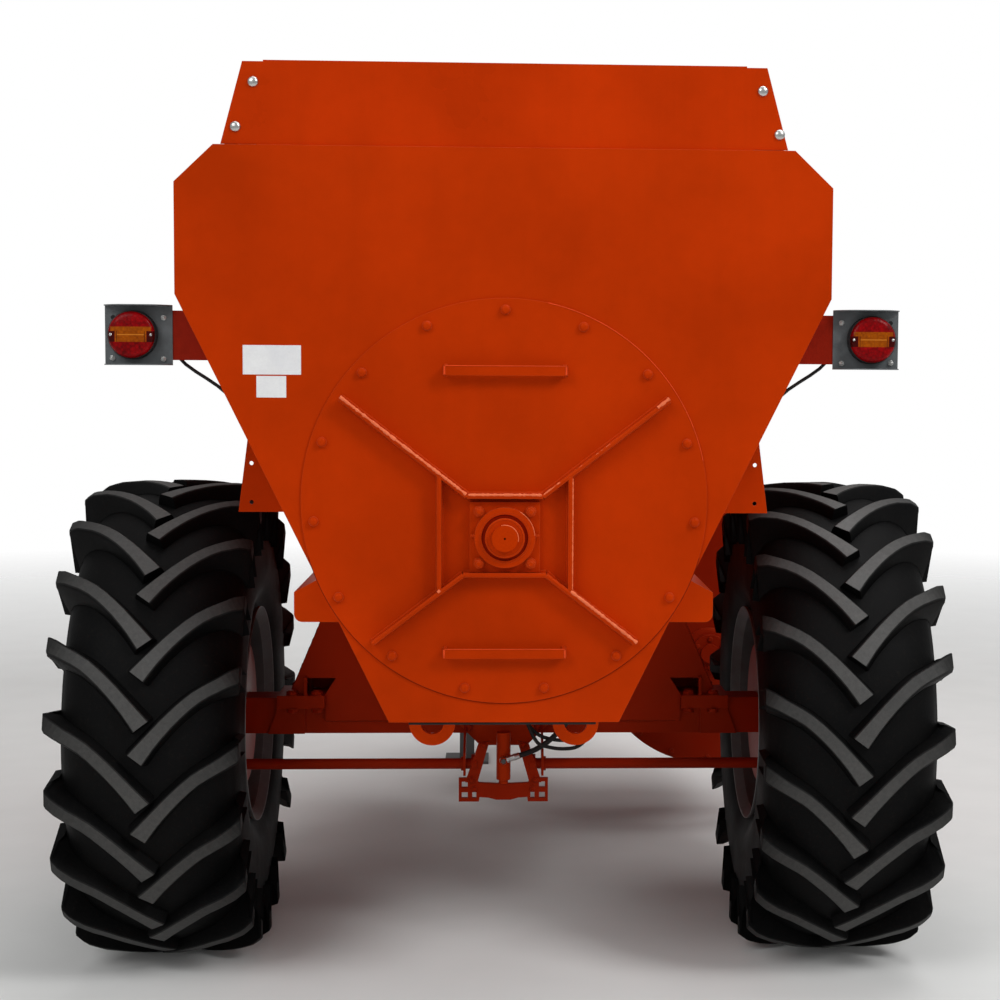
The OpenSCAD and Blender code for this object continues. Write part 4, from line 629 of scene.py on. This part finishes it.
def tyre(side, phase):
    """the whole tyre of a side; phase is where the first lug of each row stands, in degrees"""
    b = Build()
    # carcass: section points (radius, across) turned about X
    sec = []
    for i in range(SECTION_STEPS + 1):
        a = -BEAD_A + i * (pi + 2 * BEAD_A) / SECTION_STEPS
        s, c = sin(a), cos(a)
        r = MID_R + HALF_H * (1 if s > 0 else -1) * abs(s) ** SECTION_P
        x = CW * (1 if c > 0 else -1) * abs(c) ** SECTION_P
        d = 0.0
        if s < 0.45:
            for ring_r, w, h in RINGS:
                d += h * max(0, 1 - ((r - ring_r) / w) ** 2) if abs(r - ring_r) < w else 0
        sec.append((r, x + (d if x > 0 else -d)))
    loop = sec + INSIDE
    k, n = len(loop), ROUND_STEPS
    verts, faces = [], []
    for j in range(n):
        a = 2 * pi * j / n
        verts += [(x, -r * cos(a), r * sin(a)) for r, x in loop]
        for i in range(k):
            i2, j2 = (i + 1) % k, (j + 1) % n
            faces.append([j * k + i, j2 * k + i, j2 * k + i2, j * k + i2])
    at = Matrix.Translation(P(side * WHEEL_X, 0, HUB_Z))
    b.add(verts, faces, at)
    run = smooth_run(LUG_STEPS)
    m = len(run)
    rows = m + len(LUG_END)
    for row in (-1, 1):
        for q in range(LUGS):
            turn = radians(phase[row] + q * 360 / LUGS)
            verts, faces, tags = [], [], []
            for i, (s, way, w) in enumerate(run):
                p0, p1 = run[max(i - 1, 0)], run[min(i + 1, m - 1)]
                dx, dy = (p1[0] - p0[0]) * HW, p1[1] - p0[1]
                L = hypot(dx, dy)
                nx, ny = (-dy / L, dx / L) if i else FIRST_SIDE
                for edge, out, depth in LUG_SECTION:
                    off = edge * w / 2 + out
                    x = max(-HW, min(HW, s * HW + nx * off))
                    if depth is None:
                        x = max(-CW, min(CW, x)) * 0.985
                        r = crown(x) - 0.012
                    else:
                        r = TYRE_R - along(TIPS, abs(x / HW), 1) - depth - TOP_GAP
                    verts.append((row * x, r, turn + (way - LUG_RUN[0][1] + ny * off) / TYRE_R))
            last = verts[-ACROSS:]
            for x, drop, grow in LUG_END:
                for c, (_, r, a) in enumerate(last):
                    spread = (grow / TYRE_R) * (1 if c > 3 else -1)
                    verts.append((row * x, min(r, TYRE_R - TIPS[-1][1] - drop), a + spread))
            verts = [(x, -r * cos(a), r * sin(a)) for x, r, a in verts]
            for i in range(rows - 1):
                fade = max(0.0, 1 - 0.88 * (i / (m - 1)) ** 1.3)
                for c in range(ACROSS - 1):
                    a0 = i * ACROSS + c
                    f = [a0, a0 + 1, a0 + ACROSS + 1, a0 + ACROSS]
                    faces.append(f if row > 0 else f[::-1])
                    tags.append(fade * WORN.get(c, 0.0) if i < m - 1 else 0.0)
            inner, outer = list(range(ACROSS)), [(rows - 1) * ACROSS + c for c in range(ACROSS)]
            faces += [inner[::-1], outer] if row > 0 else [inner, outer[::-1]]
            b.add(verts, faces, at, tags + [0.0, 0.0])
    name = "left" if side < 0 else "right"
    o = b.make(f"traction_tyre_{name}", f"wheel_{name}", "rubber", angle=28, tag="top")
    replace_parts(o, f"tyre_{name}")


tyre(-1, {-1: 7.4, 1: 0.2})
tyre(1, {-1: 13.0, 1: 3.4})

# ---------------------------------------------------------------- rear panel, cover and bearing
BACK, FRONT, UP, DOWN = (0, -1, 0), (0, 1, 0), (0, 0, 1), (0, 0, -1)
# the cover's middle, its outer face, and the two handles' heights from the auger's axis
COVER_Z, FACE, HANDLES = 1.597, REAR - 0.006, (0.473, -0.333)
# how far out from the cover's face its welds lie
FOOT = 0.001


def off_cover(x, out, z):
    """a place by its x and height from the auger's axis, and its distance out from the cover's face"""
    return P(x, FACE - out, AUGER_Z + z)


def straight(x0, z0, x1, z1, n, out):
    """n + 1 such places on a straight line"""
    return [off_cover(x0 + (x1 - x0) * i / n, out, z0 + (z1 - z0) * i / n) for i in range(n + 1)]


def across(x0, z0, x1, z1):
    """the line's length and the direction across it"""
    L = hypot(x1 - x0, z1 - z0)
    return L, -(z1 - z0) / L, (x1 - x0) / L


b = Build()
for z, x in circle(15, 0.547):
    b.dome(P(x, FACE - 0.009, COVER_Z + z), BACK, r=0.0128, h=0.005)
edges = Build()
# the ribs' two ends, x and height from the auger's axis
RIBS = [(-0.108, 0.117, 0.108, 0.117), (-0.118, -0.107, 0.118, -0.107)]
for s in (-1, 1):
    RIBS += [(s * 0.108, 0.117, s * 0.467, 0.394), (s * 0.118, -0.107, s * 0.376, -0.303),
             (s * 0.186, -0.155, s * 0.186, 0.172)]
for x0, z0, x1, z1 in RIBS:
    L, nx, nz = across(x0, z0, x1, z1)
    for off in (-0.0075, 0.0075):
        b.weld(off_cover(x0 + nx * off, FOOT, z0 + nz * off), off_cover(x1 + nx * off, FOOT, z1 + nz * off), r=0.0045)
    # the bar's rounded rear edge, with the paint's runs
    edges.tube(straight(x0, z0, x1, z1, int(L / 0.012), 0.0368), 0.0064, 12, vary=0.035)
for z in HANDLES:
    for s in (-1, 1):
        for dz in (-0.0145, 0.0145):
            b.weld(off_cover(s * 0.164, FOOT, z + dz), off_cover(s * 0.174, FOOT, z + dz))
        b.weld(off_cover(s * 0.1745, FOOT, z - 0.014), off_cover(s * 0.1745, FOOT, z + 0.014))
b.make("cover_bolts_and_welds", "root", "orange", angle=50)
edges.make("cover_rib_edges", "root", "orange", angle=50)

# beads along some of the bars' outer edges, painted highlights in a light pink-orange where the light catches them:
# the two ends, radius
b = Build()
for x0, z0, x1, z1, r in ((-0.467, 0.394, -0.112, 0.120, 0.0046), (-0.104, 0.118, 0.104, 0.118, 0.0042),
                          (0.112, 0.120, 0.158, 0.155, 0.0028), (0.434, 0.368, 0.467, 0.394, 0.0052),
                          (0.20, 0.188, 0.30, 0.265, 0.0020), (0.190, -0.150, 0.190, 0.166, 0.0022),
                          (0.186, -0.155, 0.376, -0.303, 0.0048), (-0.186, -0.152, -0.192, -0.159, 0.005)):
    L, nx, nz = across(x0, z0, x1, z1)
    if abs(x1 - x0) < 0.01:
        nx, nz = 0.7, 0.7
    dx, dz = nx * 0.0034, nz * 0.0034
    b.tube(straight(x0 + dx, z0 + dz, x1 + dx, z1 + dz, max(2, int(L / 0.006)), 0.0400), r, 10, vary=0.30)
# painted highlights on arcs of the bearing's seal ring, the shaft's end and the bearing's round housing, where the
# light catches them
b.arc(0, FACE - 0.0612, AUGER_Z, 0.0552, 15, 112, 0.0013)
b.arc(0, -1.1086, AUGER_Z, 0.0384, -12, 105, 0.0014)
b.arc(0, FACE - 0.0434, AUGER_Z, 0.0852, 4, 60, 0.0012)
b.make("painted_highlight_beads", "root", "painted_highlight", angle=50)

# fainter painted highlights on the cover's rim at the upper right and on the handles' edges
b = Build()
b.arc(0, FACE - 0.0002, COVER_Z, 0.5795, 12, 78, 0.0013)
for z in HANDLES:
    b.tube([off_cover(-0.171, 0.0372, z + 0.0134), off_cover(0.171, 0.0372, z + 0.0134)], 0.0012, 8)
    for s in (-1, 1):
        b.weld(off_cover(s * 0.172, 0.0365, z - 0.012), off_cover(s * 0.172, 0.0365, z + 0.012), r=0.0028)
b.make("painted_edge_highlights", "root", "thin", angle=50)

# painted shade in the groove of the bearing and along the seam under the lower half of the cover's rim
b = Build()
HOUSING_OUT = 0.0379
b.lathe([(0.0562, 0), (0.0562, 0.0012), (0.0665, 0.0012), (0.0665, 0)], to(off_cover(0, HOUSING_OUT, 0), BACK), 64)
b.arc(0, REAR - 0.0012, COVER_Z, 0.5812, 196, 344, 0.0014)
b.make("painted_shade_grooves", "root", "shade")

# the bearing's flange bolts, grease nipples, seal ring and housing rim
BEARING_BOLT = 0.074
b = Build()
for sx in (-1, 1):
    for sz in (-1, 1):
        b.hexbolt(off_cover(sx * BEARING_BOLT, 0.036, sz * BEARING_BOLT), BACK, *M16, end=0.006)
    b.lathe([(0.006, -0.004), (0.006, 0.004), (0.0035, 0.006), (0.0045, 0.010), (0.003, 0.013), (0, 0.013)],
            to(off_cover(sx * 0.085, 0.032, 0.005), (sx, 0, 0)), 14)
b.lathe([(0.0565, 0), (0.0565, 0.0006), (0.055, 0.0016), (0.052, 0.0016), (0.051, 0.0006), (0.051, 0)],
        to(off_cover(0, 0.062, 0), BACK), 64)
b.lathe([(0.0658, 0), (0.0658, 0.0046), (0.0670, 0.0058), (0.0722, 0.0058), (0.0722, 0)],
        to(off_cover(0, HOUSING_OUT, 0), BACK), 64)
b.make("rear_bearing_bolts", "root", "orange")

# the flighting with a smooth helical face, on the solid's own start, pitch, radii and 117 steps of 18 degrees
FLIGHT_Y, FLIGHT_T, PITCH_Y, STEPS = -0.988, 0.012, 0.520, 117
TUBE_R, FLIGHT_R, TURNS = 0.0850, 0.465, STEPS / 20
b = Build()
n = STEPS * 6
section = ((TUBE_R, 0), (FLIGHT_R, 0), (FLIGHT_R, FLIGHT_T), (TUBE_R, FLIGHT_T))
verts = []
for i in range(n + 1):
    a, y = 2 * pi * TURNS * i / n, FLIGHT_Y + PITCH_Y * TURNS * i / n
    verts += [P(r * sin(a), y + d, AUGER_Z + r * cos(a)) for r, d in section]
faces = [(0, 1, 2, 3), (4 * n + 3, 4 * n + 2, 4 * n + 1, 4 * n)]
faces += [(4 * i + k, 4 * i + 4 + k, 4 * i + 4 + (k + 1) % 4, 4 * i + (k + 1) % 4) for i in range(n) for k in range(4)]
b.add(verts, faces)
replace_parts(b.make("auger_flighting", "auger", "auger", angle=40), "auger_flight")

b = Build()
for x, z in ((-0.710, 2.775), (-0.760, 2.650), (0.728, 2.767), (0.777, 2.645)):
    for y, way in ((REAR + 0.0083, BACK), (FRONT_Y - 0.0083, FRONT)):
        b.dome(P(x, y, z), way, r=0.0152, h=0.0075)
b.make("board_bolts", "root", "zinc")

b = Build()
for x0, x1, z0, z1 in ((-0.742, -0.578, 1.956, 2.039), (-0.704, -0.620, 1.891, 1.952)):
    b.box(P(x0, REAR - 0.0007, z0), P(x1, REAR + 0.0002, z1), 0.0003)
b.make("blank_plates", "root", "vinyl")

# ---------------------------------------------------------------- lamps
# the lamp's back and the guard's sheet
LAMP_Y, GUARD_Y = REAR + 0.0957, REAR + 0.096
for s, name in ((-1, "left"), (1, "right")):
    seat = to(P(s * LAMP_X, LAMP_Y, LAMP_Z), BACK)
    b = Build()
    b.lathe([(0, 0), (0.066, 0), (0.0697, 0.003), (0.0697, 0.030), (0.0685, 0.0335), (0.0665, 0.034), (0.066, 0.030),
             (0.066, 0.020), (0, 0.020)], seat, 72)
    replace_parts(b.make(f"lamp_housing_{name}", "root", "black"), f"lamp_{name}")
    b = Build()
    b.lathe([(0, 0.021), (LENS_R, 0.021), (LENS_R, 0.038), (0.0645, 0.0425), (0.061, 0.0460), (0.052, 0.0480),
             (0.035, 0.0490), (0.018, 0.0494), (0, 0.0495)], seat, 72)
    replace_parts(b.make(f"lamp_lens_{name}", "root", "lens"), f"lamp_{name}")
    # the lens's two screws and the guard's three
    b = Build()
    for side in (-1, 1):
        b.dome(P(s * LAMP_X + side * 0.057, LAMP_Y - 0.0455, LAMP_Z), BACK, r=0.0042, h=0.0018)
    for dx, dz in ((0.085, 0.050), (0.084, -0.068), (-0.061, -0.066)):
        b.hexbolt(P(s * (LAMP_X - dx), GUARD_Y, LAMP_Z + dz), BACK, *M6, end=0.003)
    b.make(f"lamp_screws_{name}", "root", "zinc")
    b = Build()
    hole = to(P(s * (LAMP_X + 0.059), GUARD_Y, LAMP_Z + 0.050), BACK)
    b.lathe([(0.0065, 0), (0.0065, 0.0004), (0, 0.0004)], hole, 20)
    b.make(f"lamp_guard_hole_{name}", "root", "black")

# ---------------------------------------------------------------- axle, saddle and brakes
# the rear faces of the brake levers
LEVER_Y = -0.178
b = Build()
for s in (-1, 1):
    # bolts through the ears of the axle seat
    for x in (0.6315, 0.7155):
        for y in (-0.091, 0.091):
            b.hexbolt(P(s * x, y, 0.875), UP, s=0.034, h=0.012)
            b.hexbolt(P(s * x, y, 0.831), DOWN, s=0.034, h=0.014)
    for side in (-1, 1):
        b.weld(P(s * 0.6755, side * 0.0615, 0.740), P(s * 0.6755, side * 0.0615, 0.831), r=0.0045)
        b.weld(P(s * 0.345, side * 0.0625, 0.784), P(s * 0.604, side * 0.0625, 0.784), r=0.005)
        b.weld(P(s * 0.350, side * 0.074, 1.2305), P(s * 0.570, side * 0.074, 1.2305))
        b.weld(P(s * 0.6655, side * 0.074, 0.876), P(s * 0.6655, side * 0.100, 0.876))
        # along the saddle's edge flange
        b.weld(P(s * 0.7235, side * 0.060, 0.877), P(s * 0.5755, side * 0.060, 1.228), r=0.0035)
    for y in (-0.045, 0.045):
        b.hexbolt(P(s * 0.300, y, 0.861), DOWN, s=0.026, h=0.012)
    # pins of the brake levers
    b.hexbolt(P(s * 0.066, LEVER_Y, 0.722), BACK, s=0.018, h=0.007, end=0.006)
    b.hexbolt(P(s * 0.107, LEVER_Y, 0.603), BACK, s=0.018, h=0.007, end=0.006)
    b.hexbolt(P(s * 0.098, LEVER_Y, 0.572), BACK, s=0.014, h=0.006)
for x in (-0.118, 0.118):
    b.hexbolt(P(x, -0.075, 0.762), BACK, s=0.022, h=0.010)
# sheets in the chassis's darkened paint that close the openings of the saddle's front plate at its foot, standing for
# the shade in them
for s in (-1, 1):
    b.box(P(s * 0.560, 0.052, 0.8755), P(s * 0.6645, 0.0605, 0.934), 0.002)
b.make("axle_bolts_and_welds", "root", "chassis", angle=50)

# the crimped ferrule on the brake hose's first stretch, and the collar of the ram's port
PORT_Z = 0.674
b = Build()
start, end = P(0, -0.208, PORT_Z), P(0.054, -0.212, 0.692)
way, reach = (end - start).normalized(), (end - start).length
b.lathe([(0.0102, 0.010), (0.0122, 0.012), (0.0122, 0.020), (0.0106, 0.022), (0.0106, 0.034), (0.0112, 0.036),
         (0.0112, 0.044), (0.0106, 0.046), (0.0106, reach - 0.002), (0.0098, reach - 0.0005),
         (0.0092, reach - 0.0005)], to(start, way), 24)
b.lathe([(0.0124, -0.024), (0.0130, -0.022), (0.0130, -0.006), (0.0124, -0.004)], to(P(0, -0.196, PORT_Z), FRONT), 24)
b.make("brake_hose_ferrule", "root", "steel")

# the two hoses that hang in a bight below the trough, both ends held at its underside
HOSE_R = 0.0062
b = Build()
for dy, dz in ((0.0, 0.0), (-0.014, -0.026)):
    route = [(0.050, -0.110, 0.936), (0.052, -0.140, 0.905), (0.060, -0.180, 0.856), (0.080, -0.200, 0.800),
             (0.112, -0.206, 0.764 + dz), (0.150, -0.208, 0.748 + dz), (0.200, -0.208, 0.742 + dz),
             (0.248, -0.207, 0.750 + dz), (0.284, -0.204, 0.776 + dz * 0.6), (0.302, -0.196, 0.826),
             (0.310, -0.176, 0.886), (0.312, -0.150, 0.925), (0.312, -0.125, 0.942)]
    way, last = [], len(route) - 1
    for i in range(last):
        near = [Vector(route[max(0, min(last, i + j))]) for j in (-1, 0, 1, 2)]
        way += [blend(*near, m / 5) for m in range(5)]
    way.append(Vector(route[last]))
    b.tube([P(v.x, v.y + dy, v.z) for v in way], HOSE_R, 12)
b.make("underbody_hoses", "root", "cable")

b = Build()
b.hexbolt(P(0, -0.220, PORT_Z), BACK, s=0.016, h=0.006, washer=False)
b.make("brake_port_bolt", "root", "iron")

# a black strip under the panel's foot: a painted shadow along its lower edge
b = Build()
b.box(P(-0.275, REAR + 0.002, 0.9525), P(0.265, REAR + 0.030, 0.9595), 0.002)
b.make("panel_foot_shadow_strip", "root", "cable")

# ---------------------------------------------------------------- wheel nuts and hub caps
for s, name in ((-1, "left"), (1, "right")):
    out = (s, 0, 0)
    b = Build()
    for y, z in circle(10, 0.1675):
        b.hexbolt(P(s * 1.046, y, HUB_Z + z), out, s=0.036, h=0.018, washer=False)
    for y, z in circle(8, 0.090, 0.5):
        b.hexbolt(P(s * 1.069, y, HUB_Z + z), out, s=0.014, h=0.007)
    b.lathe([(0.060, 0), (0.060, 0.004), (0.055, 0.007), (0.020, 0.008), (0.018, 0.012), (0, 0.012)],
            to(P(s * 1.109, 0, HUB_Z), out), 40)
    b.make(f"hub_nuts_{name}", f"wheel_{name}", "zinc")
    b = Build()
    b.tube([P(s * x, y, HUB_Z) for x, y in ((0.99, -0.235), (1.03, -0.240), (1.065, -0.238))], 0.006, 10)
    b.make(f"tyre_valve_{name}", f"wheel_{name}", "black")

# ---------------------------------------------------------------- drive at the front
# the drive guard's front face; the gearbox's back, front, axis, lid, and the middle of its sides
GUARD_Y1, BOX_Y0, BOX_Z, LID_Z = 2.314, 2.3143, 0.940, 1.070
BOX_Y1, BOX_SIDE_Y = BOX_Y0 + 0.260, BOX_Y0 + 0.135

b = Build()
for sx in (-1, 1):
    for sz in (-1, 1):
        at = P(sx * BEARING_BOLT, FRONT_Y + 0.036, AUGER_Z + sz * BEARING_BOLT)
        b.hexbolt(at, FRONT, *M16, end=0.006)
# gearbox: side covers, ribs, front cover, lid and breather
for s in (-1, 1):
    out = (s, 0, 0)
    b.lathe([(0.092, 0), (0.092, 0.010), (0.089, 0.013), (0.060, 0.013), (0.056, 0.017), (0, 0.017)],
            to(P(s * 0.130, BOX_SIDE_Y, BOX_Z), out), 48)
    for y, z in circle(6, 0.076):
        b.hexbolt(P(s * 0.143, BOX_SIDE_Y + y, BOX_Z + z), out, *M8)
    for y in (0.012, 0.248):
        b.box(P(s * 0.128, BOX_Y0 + y - 0.007, 0.815), P(s * 0.142, BOX_Y0 + y + 0.007, 1.055), 0.003)
    b.box(P(s * 0.128, BOX_Y0 + 0.006, 0.824), P(s * 0.140, BOX_Y1 - 0.006, 0.838), 0.003)
    for y in (2.362, 2.520):
        b.hexbolt(P(s * 0.215, y, 0.752), UP, *M20, end=0.008)
b.lathe([(0.108, 0), (0.108, 0.008), (0.105, 0.011), (0.066, 0.011), (0.063, 0.014), (0.061, 0.014), (0.061, 0)],
        to(P(0, BOX_Y1, BOX_Z), FRONT), 56)
for x, z in circle(8, 0.088, 0.5):
    b.hexbolt(P(x, BOX_Y1 + 0.011, BOX_Z + z), FRONT, *M8)
b.box(P(-0.098, BOX_Y0 + 0.030, 1.058), P(0.098, BOX_Y1 - 0.030, LID_Z), 0.003)
for x in (-0.082, 0.0, 0.082):
    for y in (BOX_Y0 + 0.045, BOX_Y1 - 0.045):
        b.hexbolt(P(x, y, LID_Z), UP, *M8)
b.lathe([(0.013, 0), (0.013, 0.012), (0.009, 0.014), (0.009, 0.026), (0.014, 0.028), (0.014, 0.036), (0.010, 0.040),
         (0, 0.040)], to(P(0.045, BOX_Y0 + 0.130, LID_Z), UP), 24)
b.hexbolt(P(0.100, BOX_Y1 - 0.020, 0.775), FRONT, s=0.024, h=0.010)
b.make("gearbox_covers_and_bolts", "root", "iron")

# splined input stub, with a locking groove between its two toothed stretches
TOOTH_R, ROOT_R = 0.0172, 0.0148
b = Build()
stub = to(P(0, 2.6046, BOX_Z), FRONT)
teeth = []
for i in range(6):
    a = 2 * pi * i / 6
    for da, r in ((-0.36, ROOT_R), (-0.24, TOOTH_R), (0.24, TOOTH_R), (0.36, ROOT_R)):
        teeth.append((r * cos(a + da), r * sin(a + da)))
b.prism(teeth, 0.0, 0.050, stub)
b.lathe([(TOOTH_R, 0), (TOOTH_R, 0.012), (ROOT_R, 0.014), (ROOT_R, 0.016)], stub, 36)
b.lathe([(ROOT_R, 0.050), (0.0138, 0.052), (0.0138, 0.058), (ROOT_R, 0.060)], stub, 36)
b.prism(teeth, 0.060, 0.090, stub, chamfer=0.003)
o = b.make("splined_stub", "pto", "steel")
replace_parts(o, "pto_shaft")

# drive guard: bolts round the ends of its three arms and along its edges, and a round hatch at the auger
b = Build()
for cx, cz, r, turns in ((0.0, AUGER_Z, 0.178, (70, 110, 150, 190)), (0.0, BOX_Z, 0.090, (200, 250)),
                         (ROTOR_X, ROTOR_Z, 0.080, (250, 300, 350, 40))):
    for a in turns:
        b.hexbolt(P(cx + r * cos(radians(a)), GUARD_Y1, cz + r * sin(radians(a))), FRONT, *M10)
for x, z in ((-0.150, 1.215), (0.285, 0.800), (0.585, 0.745), (0.365, 1.345), (0.660, 1.030)):
    b.hexbolt(P(x, GUARD_Y1, z), FRONT, *M10)
b.lathe([(0.105, 0), (0.105, 0.005), (0.102, 0.007), (0, 0.007)], to(P(0, GUARD_Y1, AUGER_Z), FRONT), 56)
for x, z in circle(6, 0.088):
    b.hexbolt(P(x, GUARD_Y1 + 0.007, AUGER_Z + z), FRONT, *M8)
b.make("drive_guard_bolts", "root", "zinc")

# ---------------------------------------------------------------- rotor housing, hood and chassis
# the rotor housing's bolts in the chassis's darkened paint: painted shade
b = Build()
for y, side in ((1.406, -1), (1.982, 1)):
    way = (0, side, 0)
    for x, z in circle(6, 0.060, 0.5):
        b.hexbolt(P(ROTOR_X + x, y + side * 0.044, ROTOR_Z + z), way, *M10)
    for a in range(190, 351, 20):
        at = P(ROTOR_X + 0.452 * cos(radians(a)), y, ROTOR_Z + 0.452 * sin(radians(a)))
        b.hexbolt(at, way, *M10)
    b.lathe([(0.078, 0), (0.105, 0), (0.105, 0.005), (0.100, 0.008), (0.078, 0.010)],
            to(P(ROTOR_X, y, ROTOR_Z), way), 48)
b.make("rotor_housing_bolts", "root", "chassis")

b = Build()
for y, side in ((1.392, -1), (1.996, 1)):
    b.lathe([(0.024, 0), (0.024, 0.004), (0.019, 0.005), (0.019, 0.012), (0.016, 0.015), (0, 0.015)],
            to(P(1.0359, y, 1.3845), (0, side, 0)), 28)
b.make("hood_pin_ends", "hood", "zinc")

# drawbar: the head's bolts, the bolster's bolts, the eye's welds and the cap of the jack's tube
JACK_X, JACK_Y = -0.1803, 2.974
b = Build()
for s in (-1, 1):
    for z in (0.635, 0.705):
        for y in (3.134, 3.254):
            b.hexbolt(P(s * 0.085, y, z), (s, 0, 0), *M20)
    for x in (0.255, 0.405):
        for z in (0.780, 0.860):
            b.hexbolt(P(s * x, FRONT_Y - 0.010, z), FRONT, s=0.024, h=0.012)
    b.weld(P(s * 0.034, 3.304, 0.692), P(s * 0.034, 3.304, 0.648), r=0.006)
b.weld(P(-0.034, 3.305, 0.6915), P(0.034, 3.305, 0.6915), r=0.006)
b.box(P(-0.2275, 2.927, 1.059), P(-0.1335, 3.021, 1.066), 0.002)
for dx in (-0.034, 0.034):
    for dy in (-0.034, 0.034):
        b.hexbolt(P(JACK_X + dx, JACK_Y + dy, 1.066), UP, *M6)
b.make("drawbar_bolts", "root", "chassis")

b = Build()
b.lathe([(0.0102, 0), (0.0140, 0.001), (0.0150, 0.010), (0.0132, 0.030), (0.0132, 0.064), (0.0150, 0.082),
         (0.0135, 0.090), (0, 0.0915)], to(P(-0.3133, JACK_Y, 1.052), UP), 28)
b.make("jack_handle_grip", "root", "black")
